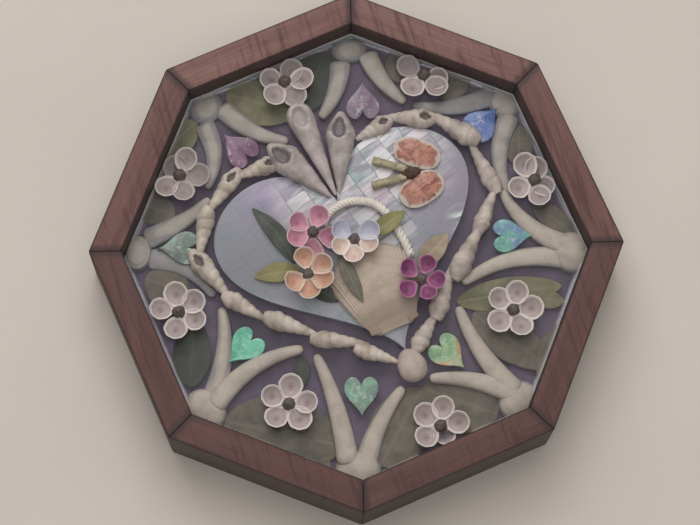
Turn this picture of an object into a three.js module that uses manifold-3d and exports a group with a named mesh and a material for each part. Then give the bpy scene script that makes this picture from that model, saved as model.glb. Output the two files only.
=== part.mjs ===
// Octagonal shell box: a mitred hardwood tray with a violet lining and a shell-work heart set in clear resin.
// Millimetres. +Z points up out of the open face, +Y towards the top of the heart, origin under the middle.
import * as THREE from 'three';
import { mergeVertices } from 'three/addons/utils/BufferGeometryUtils.js';
import Module from 'manifold-3d';

const wasm = await Module();
wasm.setup();

// Driving dimensions of the box
const ACROSS_FLATS = 203;
const BOX_HEIGHT = 35;
const RAIL_WIDTH = 12.5;
const RAIL_CHAMFER = 0.5;
const BOARD_THICKNESS = 17;
const LINING_THICKNESS = 0.6;
const RESIN_DEPTH = 4.4;
const PLATE_THICKNESS = 1.2;
const GAP = 0.3;
const SIDES = 8;

// Points closer than this are taken as one
const WELD = 1e-4;

// Driving dimensions of the shells
const TUSK = { wide: 3.6, thin: 1.35, sides: 6, steps: 4 };
const CAP = { height: 5, ribs: 6, ribDepth: 0.04, profile: [[0, 0], [1, 0], [0.7, 0.8], [0, 1]] };
const RIM_PETAL = { radius: 4.6, height: 3.4, reach: 7.8, sides: 6 };
const POSY_PETAL = { radius: 4.3, height: 5.2, reach: 7.6, sides: 6 };
const PETAL_PROFILE = [[0, 0], [0.5, 0], [1, 1], [0, 0.5]];
const EYE = { radius: 2.7, foot: 0.95, neck: 0.7, crown: 0.8, shoulder: 1.1, top: 1.25 };
const SCALLOP = { hinge: [1.5, -36], across: 36, height: 5.4, rim: 1, ribs: 9, spread: 78, rows: 4 };
const SCALLOP_FORM = { start: 0.08, edgeDome: 0.02, sideFall: 0.9, ribDepth: 0.09, seatSides: 12 };
const EAR = { size: [7, 5, 1.6], out: 6.5, up: 3.2, turn: 0.35 };
const ROPE = { radius: 1.9, turns: 12, strands: 2, strandDepth: 0.1, sides: 6, steps: 22 };
const LEAF_THICKNESS = 0.8;
const LEAF_FORM = { blunt: 0.8, arch: 0.8, fold: 0.5 };
const WING_FORM = { blunt: 0.45, arch: 1, fold: 0.4 };
const BLADE = { point: 0.08, lengthwise: 5, crosswise: 2 };
const SPINDLE = { sink: 0.26, lap: 1.5 };
const BORDER_FORM = { fullest: 0.55, blunt: 0.35, sides: 6, steps: 3 };
const LONG_FORM = { fullest: 0.72, blunt: 0.12, sides: 8, steps: 7 };
const PEARL = { at: [2, -1], width: 106, length: 86, points: 28 };
const ABALONE_SIZE = { width: 12.5, length: 15.5, thickness: 1.8, points: 14 };

// The heart curve's four waves, its height before scaling and the drop that centres it
const HEART_WAVES = [13, -5, -2, -1];
const HEART_SPAN = 28.9;
const HEART_DROP = 2.55;

// Levels worked out from them
const EIGHTH = (2 * Math.PI) / SIDES;
const HALF_FLAT = ACROSS_FLATS / 2;
const WELL_FLAT = HALF_FLAT - RAIL_WIDTH - GAP;
const LINING_TOP = BOARD_THICKNESS + LINING_THICKNESS;
const RESIN_TOP = LINING_TOP + RESIN_DEPTH;
const PLATE_TOP = RESIN_TOP + PLATE_THICKNESS;

// Corners counter-clockwise from the upper right: the cap shell's middle, width, length, and its two tusks
const CORNERS = [
  {
    cap: [84, 35, 15.5, 12.5],
    tusks: [{ from: [82, 41], to: [48, 50], bow: 3 }, { from: [85, 30], to: [69, -2], bow: 4 }],
  },
  {
    cap: [33.5, 83, 16.5, 11],
    tusks: [{ from: [28, 80], to: [10, 60], bow: 2 }, { from: [40, 79], to: [46, 52], bow: 2 }],
  },
  {
    cap: [-32, 83.5, 16.5, 13],
    tusks: [{ from: [-36, 78], to: [-46, 51], bow: 3.5 }, { from: [-26, 82], to: [-6, 56], bow: 3 }],
  },
  {
    cap: [-83, 37, 17, 12],
    tusks: [{ from: [-78, 41], to: [-46, 46], bow: 1.5 }, { from: [-80, 33], to: [-61, 7], bow: 4 }],
  },
  {
    cap: [-83, -35, 18, 14],
    tusks: [{ from: [-81, -34], to: [-60, 2], bow: 3 }, { from: [-80, -36], to: [-36, -28], bow: 4.5 }],
  },
  {
    cap: [-36, -83, 18, 14],
    tusks: [{ from: [-39, -80], to: [-32.5, -32], bow: 1.8 }, { from: [-35, -82], to: [-5, -59], bow: 3 }],
  },
  {
    cap: [36, -83, 18, 14],
    tusks: [{ from: [37, -82], to: [6, -60], bow: 2.5 }, { from: [37, -80], to: [29.5, -37], bow: 2.5 }],
  },
  {
    cap: [83, -35, 17, 15],
    tusks: [{ from: [80, -37], to: [35, -29], bow: 4.5 }, { from: [84, -33], to: [67, 1], bow: 4 }],
  },
];

// Abalone hearts, one inside each corner
const ABALONE = [
  [72.5, 31], [29.5, 60], [-27, 62], [-67, 32],
  [-59, -18], [-22.5, -56], [18, -54.5], [63, -19],
];

// Cup-shell flowers, one inside each rail from the right one round, with the bearings of their petals
const RIM_FLOWERS = [
  { side: 'right', at: [81, -1], petals: [-32, 38, 97, 184, 263] },
  { side: 'top_right', at: [57.5, 59.5], petals: [-16, 65, 130, 208, 291] },
  { side: 'top', at: [2.5, 80], petals: [-17, 53, 132, 210, 283] },
  { side: 'top_left', at: [-54, 60], petals: [45, 113, 197, 259, 337] },
  { side: 'left', at: [-77, 6.5], petals: [-50, 11, 75, 150, 238] },
  { side: 'bottom_left', at: [-51, -47], petals: [60, 130, 205, 282, 341] },
  { side: 'bottom', at: [2, -80], petals: [-12, 57, 121, 196, 270] },
  { side: 'bottom_right', at: [49.5, -48], petals: [-16, 52, 119, 196, 270] },
];

// Flowers of the posy, from the uppermost down
const POSY = [
  { name: 'peach_flower', at: [-22.5, -1.5], petals: [-50, 10, 80, 188, 255], colour: 0xf0b080 },
  { name: 'pink_flower', at: [-13.5, 14.5], petals: [-36, 42, 126, 183, 245], colour: 0xd86a98 },
  { name: 'white_flower', at: [1, 4.5], petals: [-50, 5, 127, 184, 245], colour: 0xe6d4c6 },
  { name: 'purple_flower', at: [19, -22], petals: [-28, 40, 118, 194, 273], colour: 0x6a1a55 },
];

// Spiral shells round the heart, end to end on each side: both ends and the width
const BORDER = {
  right: [
    [[21, 45], [36, 47], 7],
    [[37, 48], [53, 40], 8],
    [[53, 42], [66, 24], 9],
    [[63, 24], [64.5, 1], 7],
    [[64, 2], [50, -12], 7],
    [[52, -10], [33, -26], 9],
    [[33, -22], [19, -38], 8],
    [[19, -37], [6, -47], 7],
  ],
  left: [
    [[-4, -48], [-16, -37], 7],
    [[-13, -36], [-31, -26], 7.5],
    [[-30, -24], [-45, -10], 7.5],
    [[-46, -10], [-57, 5], 7],
    [[-56, 5], [-62, 27], 8],
    [[-60, 25], [-49, 42], 8],
    [[-49, 41], [-31, 52], 7],
    [[-32, 50], [-14, 49], 7],
  ],
};
const TIP_SHELL = { at: [1.5, -52.5], size: [12, 14.5, 10], rise: 2, facets: [10, 6] };

// Long shells fanned out of the notch, the middle one on top
const LONG_SHELLS = [
  { name: 'long_shell_middle', from: [2, 28], to: [2, 67.5], width: 10.5 },
  { name: 'long_shell_left', from: [-1, 29], to: [-14, 55], width: 11 },
  { name: 'long_shell_right', from: [5, 29], to: [17.5, 56], width: 10.5 },
];

// Leaves round the posy: base, tip, width and how far they lie above the pearl
const LEAVES = [
  { name: 'leaf_tall', from: [-25, 6], to: [-32, 35], width: 7, rise: 1, colour: 0x2f4a3c },
  { name: 'leaf_left', from: [-26, 3], to: [-43, 7.5], width: 8, rise: 1, colour: 0x7f9a4a },
  { name: 'leaf_low', from: [-24, -4], to: [-15, -16], width: 7, rise: 1, colour: 0x2f4a3c },
  { name: 'leaf_right', from: [8, 3.5], to: [25, 7.5], width: 7, rise: 4.3, colour: 0x86a04c },
  { name: 'leaf_on_scallop', from: [-7.5, 0], to: [-6.5, -21.5], width: 5.5, rise: 5.2, colour: 0x6f7a64 },
  { name: 'leaf_olive', from: [21, -16], to: [38.5, -8], width: 9, rise: 0.6, colour: 0x9a8a5c },
];

// Rope handle from behind the pink flower over to the scallop's right edge
const ROPE_ROUTE = [[-8, 16], [-4, 20], [3, 21.5], [10, 20], [16, 16], [19.3, 8], [20.8, -2], [21.2, -10]];

// Butterfly: the two wings' long axes, its body and the tubes of its feelers
const WINGS = [
  { from: [33, 36], to: [48, 22], width: 12.5 },
  { from: [26, 12.3], to: [46, 15.8], width: 13.4 },
];
const WING_RISE = 1;
const THORAX = { from: [31.5, 22.5], to: [41.5, 21.5], radius: 2.2, ends: 0.45, sides: 6, steps: 4 };
const FEELERS = [{ from: [23, 33], to: [34, 24] }, { from: [18, 23.5], to: [33, 21.8] }];
const FEELER = { radius: 1.5, sides: 6 };

// Finishes
const FINISH = {
  rail: { color: 0x7c4a40, roughness: 0.55 },
  board: { color: 0x7c4a40, roughness: 0.7 },
  lining: { color: 0x3c3852, roughness: 0.9 },
  resin: { color: 0xe8eef0, roughness: 0.05, transparent: true, opacity: 0.2 },
  cream: { color: 0xd8cdb8, roughness: 0.5 },
  tip: { color: 0xd8cdb8, roughness: 0.4 },
  longShell: { color: 0xb9b2a6, roughness: 0.35 },
  cup: { color: 0xd9d0cc, roughness: 0.4 },
  soft: { roughness: 0.6 },
  wing: { color: 0xc4623c, roughness: 0.4 },
  rope: { color: 0xcdbf9f, roughness: 0.9 },
  scallop: { color: 0xb5a27c, roughness: 0.6 },
  abalone: { color: 0x8fc4b8, roughness: 0.25 },
  pearl: { color: 0xaebac6, roughness: 0.2 },
};

const group = new THREE.Group();

// Adds a named piece with a finish of its own
function addPiece(name, geometry, finish) {
  const material = new THREE.MeshStandardMaterial({ metalness: 0, ...finish });
  const mesh = new THREE.Mesh(geometry, material);
  mesh.name = name;
  group.add(mesh);
  return mesh;
}

// Turns a closed geometry into a solid that can be joined and cut
function solidOf(geometry) {
  const bare = geometry.clone();
  bare.deleteAttribute('normal');
  bare.deleteAttribute('uv');
  const merged = mergeVertices(bare, WELD);
  const corners = merged.index.array;
  const kept = [];
  for (let i = 0; i < corners.length; i += 3) {
    const [a, b, c] = corners.slice(i, i + 3);
    if (a !== b && b !== c && c !== a) kept.push(a, b, c);
  }
  const vertProperties = new Float32Array(merged.attributes.position.array);
  return new wasm.Manifold(new wasm.Mesh({ numProp: 3, vertProperties, triVerts: new Uint32Array(kept) }));
}

// Turns a solid back into a geometry
function geometryOf(solid) {
  const { vertProperties, triVerts } = solid.getMesh();
  const geometry = new THREE.BufferGeometry();
  geometry.setAttribute('position', new THREE.BufferAttribute(vertProperties, 3));
  geometry.setIndex(new THREE.BufferAttribute(triVerts, 1));
  geometry.computeVertexNormals();
  return geometry;
}

const fuse = (geometries) => wasm.Manifold.union(geometries.map(solidOf));
const keepAbove = (solid, level) => solid.trimByPlane([0, 0, 1], level);
const largestBody = (solid) => solid.decompose().sort((a, b) => b.volume() - a.volume())[0];
const bearing = (degrees, length) => {
  const turn = THREE.MathUtils.degToRad(degrees);
  return new THREE.Vector2(Math.cos(turn) * length, Math.sin(turn) * length);
};

const meets = (one, other) => one.intersect(other).volume() > 0;

const middleOf = (solid) => {
  const { min, max } = solid.boundingBox();
  return new THREE.Vector3(...min).add(new THREE.Vector3(...max)).multiplyScalar(0.5);
};

// What is left of a solid once one that lies over it is cut out, with a gap on the side where they meet
function cutClear(solid, above) {
  const towards = middleOf(solid).sub(middleOf(above)).setLength(GAP);
  return solid.subtract(above).subtract(above.translate(towards.toArray()));
}

// Pieces are laid from the uppermost down, and each is trimmed clear of those lying over it
const laid = [];
function lay(name, solid, finish) {
  const over = laid.filter((above) => meets(solid, above));
  const piece = over.length ? largestBody(over.reduce(cutClear, solid)) : solid;
  laid.push(piece);
  addPiece(name, geometryOf(piece), finish);
}

function octagon(halfFlat) {
  const reach = halfFlat / Math.cos(EIGHTH / 2);
  const corners = Array.from({ length: SIDES }, (_, k) => {
    const turn = (k + 0.5) * EIGHTH;
    return new THREE.Vector2(Math.cos(turn) * reach, Math.sin(turn) * reach);
  });
  return new THREE.Shape(corners);
}

function slab(halfFlat, bottom, top) {
  const geometry = new THREE.ExtrudeGeometry(octagon(halfFlat), { depth: top - bottom, bevelEnabled: false });
  return geometry.translate(0, 0, bottom);
}

// Everything in the tray stays inside the rails and above the resin
const well = solidOf(slab(WELL_FLAT, RESIN_TOP, BOX_HEIGHT));

// Pulls a disc in from the walls until it fits inside them
function insideWalls(at, radius) {
  const place = at.clone();
  for (let k = 0; k < SIDES; k += 1) {
    const outward = new THREE.Vector2(Math.cos(k * EIGHTH), Math.sin(k * EIGHTH));
    const over = place.dot(outward) - (WELL_FLAT - radius - GAP);
    if (over > 0) place.addScaledVector(outward, -over);
  }
  return place;
}

// One rail, mitred at both ends, along the wall that faces +X
function railGeometry() {
  const slope = Math.tan(EIGHTH / 2);
  const endInset = (GAP / 2 + RAIL_CHAMFER) / Math.cos(EIGHTH / 2);
  const inner = HALF_FLAT - RAIL_WIDTH + RAIL_CHAMFER;
  const outer = HALF_FLAT - RAIL_CHAMFER;
  const half = (x) => x * slope - endInset;
  const plan = new THREE.Shape([
    new THREE.Vector2(inner, -half(inner)),
    new THREE.Vector2(outer, -half(outer)),
    new THREE.Vector2(outer, half(outer)),
    new THREE.Vector2(inner, half(inner)),
  ]);
  const rail = new THREE.ExtrudeGeometry(plan, {
    depth: BOX_HEIGHT - 2 * RAIL_CHAMFER,
    bevelSize: RAIL_CHAMFER,
    bevelThickness: RAIL_CHAMFER,
    bevelSegments: 1,
  });
  return rail.translate(0, 0, RAIL_CHAMFER);
}

// A round bar along a level curve, its radius given from start to end
function barAlong(curve, radiusAt, sides, steps) {
  const bar = new THREE.CylinderGeometry(1, 1, 1, sides, steps);
  const places = bar.attributes.position;
  const point = new THREE.Vector3();
  for (let i = 0; i < places.count; i += 1) {
    point.fromBufferAttribute(places, i);
    const along = point.y + 0.5;
    const around = Math.atan2(point.z, point.x);
    const size = Math.hypot(point.x, point.z) * radiusAt(along, around);
    const middle = curve.getPoint(along);
    const ahead = curve.getTangent(along);
    const level = size * Math.cos(around);
    const lift = size * Math.sin(around);
    places.setXYZ(i, middle.x + ahead.y * level, middle.y - ahead.x * level, middle.z + lift);
  }
  return bar;
}

const lineAt = (from, to, height) => new THREE.LineCurve3(
  new THREE.Vector3(...from, height),
  new THREE.Vector3(...to, height),
);

// A tusk shell, bowed away from the flower that it frames
function tusk({ from, to, bow }, flower) {
  const start = new THREE.Vector2(...from);
  const end = new THREE.Vector2(...to);
  const middle = start.clone().add(end).multiplyScalar(0.5);
  const across = new THREE.Vector2(end.y - start.y, start.x - end.x).normalize();
  const away = Math.sign(across.dot(middle.clone().sub(new THREE.Vector2(...flower))));
  // The curve passes half as far out as the point that draws it
  middle.addScaledVector(across, 2 * bow * away);
  const path = new THREE.QuadraticBezierCurve3(
    new THREE.Vector3(start.x, start.y, RESIN_TOP),
    new THREE.Vector3(middle.x, middle.y, RESIN_TOP),
    new THREE.Vector3(end.x, end.y, RESIN_TOP + TUSK.thin / 2),
  );
  return barAlong(path, (along) => THREE.MathUtils.lerp(TUSK.wide, TUSK.thin, along), TUSK.sides, TUSK.steps);
}

// A low ribbed cap shell with its long side across the corner
function capShell([x, y, width, length]) {
  const profile = CAP.profile.map(([r, z]) => new THREE.Vector2(r, z));
  const cap = new THREE.LatheGeometry(profile, 2 * CAP.ribs).rotateX(Math.PI / 2);
  const places = cap.attributes.position;
  for (let i = 0; i < places.count; i += 1) {
    const around = Math.atan2(places.getY(i), places.getX(i));
    const rib = 1 + CAP.ribDepth * Math.cos(CAP.ribs * around);
    places.setXY(i, places.getX(i) * rib, places.getY(i) * rib);
  }
  const corner = Math.atan2(y, x);
  return cap.scale(length / 2, width / 2, CAP.height).rotateZ(corner).translate(x, y, RESIN_TOP);
}

// A heart with its tip towards -Y, about the middle of its length
function heartShape({ width, length, points }) {
  const outline = Array.from({ length: points }, (_, i) => {
    const turn = (i / points) * 2 * Math.PI;
    const lift = HEART_WAVES.reduce((sum, size, k) => sum + size * Math.cos((k + 1) * turn), HEART_DROP);
    return new THREE.Vector2((Math.sin(turn) ** 3 * width) / 2, (lift / HEART_SPAN) * length);
  });
  return new THREE.Shape(outline);
}

// A petal cup, hollowed on top, standing on its narrow foot
function petalCup(at, { radius, height, sides }, level) {
  const outline = PETAL_PROFILE.map(([r, z]) => new THREE.Vector2(r * radius, z * height));
  return new THREE.LatheGeometry(outline, sides).rotateX(Math.PI / 2).translate(at.x, at.y, level);
}

// Five cups round a dark eye that spreads out under them
function flower({ at, petals }, cup, level) {
  const middle = new THREE.Vector2(...at);
  const places = petals.map((turn) => insideWalls(middle.clone().add(bearing(turn, cup.reach)), cup.radius));
  const outline = [
    new THREE.Vector2(0, 0),
    new THREE.Vector2(cup.reach * EYE.foot, 0),
    new THREE.Vector2(EYE.radius, cup.height * EYE.neck),
    new THREE.Vector2(EYE.radius * EYE.crown, cup.height * EYE.shoulder),
    new THREE.Vector2(0, cup.height * EYE.top),
  ];
  const eye = new THREE.LatheGeometry(outline, cup.sides).rotateX(Math.PI / 2).translate(...at, level);
  return fuse([eye, ...places.map((place) => petalCup(place, cup, level))]);
}

// A spindle-shaped shell lying between two points, fullest where its body whorl is
function spindle(from, to, width, { fullest, blunt, sides, steps }) {
  const girth = (along) => {
    const skewed = along < fullest ? along / fullest / 2 : 1 - (1 - along) / (1 - fullest) / 2;
    return (width / 2) * (blunt + (1 - blunt) * Math.sin(Math.PI * skewed));
  };
  const ahead = new THREE.Vector2(to[0] - from[0], to[1] - from[1]).setLength(SPINDLE.lap);
  const start = [from[0] - ahead.x, from[1] - ahead.y];
  const end = [to[0] + ahead.x, to[1] + ahead.y];
  return barAlong(lineAt(start, end, RESIN_TOP + width * SPINDLE.sink), girth, sides, steps);
}

// A box of given divisions whose points are moved by a rule of length, width and side
function mouldedBox(lengthwise, crosswise, place) {
  const box = new THREE.BoxGeometry(1, 1, 1, lengthwise, crosswise, 1);
  const points = box.attributes.position;
  for (let i = 0; i < points.count; i += 1) {
    const moved = place(points.getX(i) + 0.5, points.getY(i) * 2, points.getZ(i) + 0.5);
    points.setXYZ(i, moved.x, moved.y, moved.z);
  }
  return box;
}

// A pointed blade with a folded midrib and a low arch, or a rounded wing where it is blunt
function blade({ from, to, width }, level, { blunt, arch, fold }) {
  const start = new THREE.Vector2(...from);
  const ahead = new THREE.Vector2(...to).sub(start);
  const across = new THREE.Vector2(-ahead.y, ahead.x).normalize();
  return mouldedBox(BLADE.lengthwise, BLADE.crosswise, (along, side, upper) => {
    const half = (width / 2) * Math.max(BLADE.point, Math.sin(Math.PI * along) ** blunt);
    const spot = start.clone().addScaledVector(ahead, along).addScaledVector(across, half * side);
    const lift = arch * Math.sin(Math.PI * along) + fold * Math.abs(side) + upper * LEAF_THICKNESS;
    return new THREE.Vector3(spot.x, spot.y, level + lift);
  });
}

// The scallop: ribs fan from the hinge over a round, domed valve with two ears, cut away where flowers stand
function scallop() {
  const { hinge, across, height, rim, ribs, spread, rows } = SCALLOP;
  const { start, edgeDome, sideFall, ribDepth, seatSides } = SCALLOP_FORM;
  const widest = THREE.MathUtils.degToRad(spread);
  const valve = mouldedBox(2 * ribs, rows, (turn, out, upper) => {
    const angle = (1 - 2 * turn) * widest;
    const reach = THREE.MathUtils.lerp(start, 1, (out + 1) / 2);
    const length = across * Math.cos(angle) * reach;
    const dome = Math.sqrt(4 * reach * (1 - reach) + edgeDome) * Math.cos(angle * sideFall);
    const rib = 1 + ribDepth * Math.cos(2 * Math.PI * ribs * turn);
    const lift = upper * (rim + (height - rim) * dome * rib);
    const x = hinge[0] - length * Math.sin(angle);
    const y = hinge[1] + length * Math.cos(angle);
    return new THREE.Vector3(x, y, PLATE_TOP + lift);
  });
  const ears = [1, -1].map((side) => {
    const ear = new THREE.BoxGeometry(...EAR.size).rotateZ(side * EAR.turn);
    return ear.translate(hinge[0] + side * EAR.out, hinge[1] + EAR.up, PLATE_TOP + EAR.size[2] / 2);
  });
  const seatRadius = POSY_PETAL.reach + POSY_PETAL.radius + GAP;
  const seats = POSY.map(({ at }) => {
    const seat = new THREE.CylinderGeometry(seatRadius, seatRadius, 4 * height, seatSides);
    return seat.rotateX(Math.PI / 2).translate(...at, PLATE_TOP);
  });
  return fuse([valve, ...ears]).subtract(fuse(seats));
}

// The rope handle: a round bar with strands twisted along it
function ropeHandle() {
  const { radius, turns, strands, strandDepth, sides, steps } = ROPE;
  const height = PLATE_TOP + radius;
  const route = new THREE.CatmullRomCurve3(ROPE_ROUTE.map(([x, y]) => new THREE.Vector3(x, y, height)));
  const girth = (along, around) => {
    const twist = Math.cos(strands * (around - turns * Math.PI * along));
    return radius * (1 - strandDepth + strandDepth * twist);
  };
  return solidOf(barAlong(route, girth, sides, steps));
}

// The butterfly: two wing shells on a body with two feeler tubes
function butterfly() {
  const level = PLATE_TOP + GAP;
  const wings = WINGS.map((wing) => blade(wing, level + WING_RISE, WING_FORM));
  const { from, to, radius, ends, sides, steps } = THORAX;
  const girth = (along) => radius * THREE.MathUtils.lerp(ends, 1, Math.sin(Math.PI * along));
  const body = barAlong(lineAt(from, to, level + radius), girth, sides, steps);
  const feelers = FEELERS.map((feeler) => (
    barAlong(lineAt(feeler.from, feeler.to, level + FEELER.radius), () => FEELER.radius, FEELER.sides, 1)
  ));
  return fuse([...wings, body, ...feelers]);
}

// Frame, board, lining and resin
RIM_FLOWERS.forEach(({ side }, k) => {
  const rail = addPiece(`rail_${side}`, railGeometry(), FINISH.rail);
  rail.rotation.z = k * EIGHTH;
});
addPiece('base_board', slab(WELL_FLAT, 0, BOARD_THICKNESS), FINISH.board);
addPiece('lining', slab(WELL_FLAT, BOARD_THICKNESS, LINING_TOP), FINISH.lining);
addPiece('clear_resin', slab(WELL_FLAT, LINING_TOP, RESIN_TOP), FINISH.resin);

// Posy on the pearl, uppermost first
for (const { name, colour, ...bloom } of POSY) {
  lay(name, flower(bloom, POSY_PETAL, PLATE_TOP), { ...FINISH.soft, color: colour });
}
for (const { name, colour, rise, ...leaf } of LEAVES) {
  lay(name, solidOf(blade(leaf, PLATE_TOP + rise, LEAF_FORM)), { ...FINISH.soft, color: colour });
}
lay('butterfly', butterfly(), FINISH.wing);
lay('rope_handle', ropeHandle(), FINISH.rope);
lay('scallop_basket', scallop(), FINISH.scallop);

// Shells round the heart
const tip = new THREE.SphereGeometry(0.5, ...TIP_SHELL.facets).rotateX(Math.PI / 2).scale(...TIP_SHELL.size);
tip.translate(...TIP_SHELL.at, RESIN_TOP + TIP_SHELL.rise);
lay('tip_shell', keepAbove(solidOf(tip), RESIN_TOP), FINISH.tip);
for (const { name, from, to, width } of LONG_SHELLS) {
  lay(name, keepAbove(solidOf(spindle(from, to, width, LONG_FORM)), RESIN_TOP), FINISH.longShell);
}
for (const [side, shells] of Object.entries(BORDER)) {
  const row = fuse(shells.map(([from, to, width]) => spindle(from, to, width, BORDER_FORM)));
  lay(`heart_border_${side}`, keepAbove(row, RESIN_TOP), FINISH.cream);
}

// Flowers, sprays and hearts round the rim
for (const { side, ...bloom } of RIM_FLOWERS) {
  lay(`rim_flower_${side}`, flower(bloom, RIM_PETAL, RESIN_TOP).intersect(well), FINISH.cup);
}
CORNERS.forEach(({ cap, tusks }, k) => {
  const framed = [RIM_FLOWERS[(k + 1) % SIDES].at, RIM_FLOWERS[k].at];
  const turned = tusks.map((shell) => {
    const near = framed.map((at) => Math.hypot(at[0] - shell.to[0], at[1] - shell.to[1]));
    return tusk(shell, near[0] < near[1] ? framed[0] : framed[1]);
  });
  const spray = fuse([capShell(cap), ...turned]);
  lay(`corner_spray_${k + 1}`, keepAbove(spray, RESIN_TOP).intersect(well), FINISH.cream);
});
ABALONE.forEach((at, k) => {
  const depth = ABALONE_SIZE.thickness;
  const piece = new THREE.ExtrudeGeometry(heartShape(ABALONE_SIZE), { depth, bevelEnabled: false });
  piece.rotateZ((k + 0.5) * EIGHTH + Math.PI / 2).translate(...at, RESIN_TOP);
  lay(`abalone_heart_${k + 1}`, solidOf(piece), FINISH.abalone);
});

// The mother-of-pearl plate lies under the posy, inside the row of border shells
const plate = new THREE.ExtrudeGeometry(heartShape(PEARL), { depth: PLATE_THICKNESS, bevelEnabled: false });
lay('pearl_heart', solidOf(plate.translate(...PEARL.at, RESIN_TOP)), FINISH.pearl);

export default group;
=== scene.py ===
"""Looks of the octagonal shell box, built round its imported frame.

The bench works in millimetres. settle() brings each finished piece to metres, in the frame's own axes:
+Z out of the open face, +Y towards the top of the heart.
"""

import logging
import math
from collections.abc import Callable, Iterator
from contextlib import contextmanager
from dataclasses import dataclass
from enum import Enum
from itertools import pairwise

import bmesh
import bpy
import numpy as np
from mathutils import Matrix, Vector


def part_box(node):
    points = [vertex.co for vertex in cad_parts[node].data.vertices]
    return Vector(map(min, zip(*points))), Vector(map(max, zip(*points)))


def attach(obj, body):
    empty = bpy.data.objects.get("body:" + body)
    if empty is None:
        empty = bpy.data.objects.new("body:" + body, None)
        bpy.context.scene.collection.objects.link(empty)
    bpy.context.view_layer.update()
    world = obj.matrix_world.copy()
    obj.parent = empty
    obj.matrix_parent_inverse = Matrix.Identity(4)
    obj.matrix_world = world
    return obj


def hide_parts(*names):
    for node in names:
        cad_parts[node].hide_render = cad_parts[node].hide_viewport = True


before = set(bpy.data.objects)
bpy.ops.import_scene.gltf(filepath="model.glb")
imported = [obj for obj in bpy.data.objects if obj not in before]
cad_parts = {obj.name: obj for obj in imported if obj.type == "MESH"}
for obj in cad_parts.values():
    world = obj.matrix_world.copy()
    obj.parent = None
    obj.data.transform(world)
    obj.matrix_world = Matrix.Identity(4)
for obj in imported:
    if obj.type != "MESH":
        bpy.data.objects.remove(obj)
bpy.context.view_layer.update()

LOG = logging.getLogger("shell_box")
MM = 0.001
SIDES = 8
EIGHTH = 2 * math.pi / SIDES
# Area of an octagon for each square of its half width, rounded up
OCTAGON_AREA = 3.32
# Space left between the lining and what stands on it, in millimetres
LINING_GAP = 0.1
SIDE_NAMES = ("right", "top_right", "top", "top_left", "left", "bottom_left", "bottom", "bottom_right")

# Levels and reaches read from the frame, in millimetres
RIM_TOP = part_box("rail_top")[1].z / MM
RAIL_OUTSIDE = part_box("rail_right")[1].x / MM
RAIL_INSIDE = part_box("rail_right")[0].x / MM
WELL_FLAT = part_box("lining")[1].x / MM
LINING_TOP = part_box("lining")[1].z / MM
RESIN_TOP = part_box("clear_resin")[1].z / MM
PLATE_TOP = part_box("pearl_heart")[1].z / MM

Point = tuple[float, float]
Colour = tuple[float, float, float, float]
Socket = bpy.types.NodeSocket
Piece = bpy.types.Object
Finish = bpy.types.Material


# Small sums

def colour(code: str) -> Colour:
    """A colour from its six-digit code, as the shader counts light."""
    parts = [int(code[i:i + 2], 16) / 255 for i in (0, 2, 4)]
    return (*[p / 12.92 if p <= 0.04045 else ((p + 0.055) / 1.055) ** 2.4 for p in parts], 1.0)


def smooth(values: np.ndarray, low: float, high: float) -> np.ndarray:
    """Eases from 0 below low to 1 above high."""
    part = np.clip((values - low) / (high - low), 0, 1)
    return part * part * (3 - 2 * part)


def wobble(points: np.ndarray, period: float, seed: int) -> np.ndarray:
    """Smooth unevenness, the same for the same seed.

    Args:
        points: Places, one row each.
        period: Rough distance from one swelling to the next.
        seed: Picks the pattern.

    Returns:
        One value per place, between -1 and 1.
    """
    dice = np.random.default_rng(seed)
    total = np.zeros(len(points))
    waves = 5
    for _ in range(waves):
        way = dice.normal(size=3)
        way *= 2 * math.pi / period * dice.uniform(0.6, 1.6) / np.linalg.norm(way)
        total += np.sin(points @ way + dice.uniform(0, 2 * math.pi))
    return total / waves


def inside_walls(at: Point, radius: float) -> Point:
    """Pulls a disc in from the walls until it fits inside them.

    Args:
        at: Middle of the disc.
        radius: Its radius.

    Returns:
        The middle, moved in where the disc was over a wall.
    """
    x, y = at
    for k in range(SIDES):
        over = x * math.cos(k * EIGHTH) + y * math.sin(k * EIGHTH) - (WELL_FLAT - radius)
        x -= max(over, 0) * math.cos(k * EIGHTH)
        y -= max(over, 0) * math.sin(k * EIGHTH)
    return x, y


# The bench: hand tools that add, shape and finish one piece

def take(piece: Piece) -> None:
    """Makes one piece the only selected one, and active.

    Args:
        piece: The piece.
    """
    bpy.ops.object.select_all(action="DESELECT")
    piece.select_set(True)
    bpy.context.view_layer.objects.active = piece


def just_added(name: str) -> Piece:
    """Names the piece that an operator has added, and puts its place into its mesh.

    Args:
        name: Name to give it.

    Returns:
        The piece.
    """
    piece = bpy.context.active_object
    piece.name = piece.data.name = name
    bpy.ops.object.transform_apply(location=True, rotation=True, scale=True)
    return piece


@contextmanager
def edit(piece: Piece, kind: str = "VERT") -> Iterator[None]:
    """Holds a piece in edit mode, with everything deselected to begin with.

    Args:
        piece: What is worked on.
        kind: What is selected there: VERT, EDGE or FACE.

    Yields:
        Nothing, while the piece is in edit mode.
    """
    take(piece)
    bpy.ops.object.mode_set(mode="EDIT")
    bpy.ops.mesh.select_mode(type=kind)
    bpy.ops.mesh.select_all(action="DESELECT")
    yield
    bpy.ops.object.mode_set(mode="OBJECT")


def select_all() -> None:
    """Selects all of the piece that is in edit mode."""
    bpy.ops.mesh.select_all(action="SELECT")


class Part(Enum):
    """Parts of a mesh that can be chosen."""

    VERTICES = "verts"
    FACES = "faces"


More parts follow.
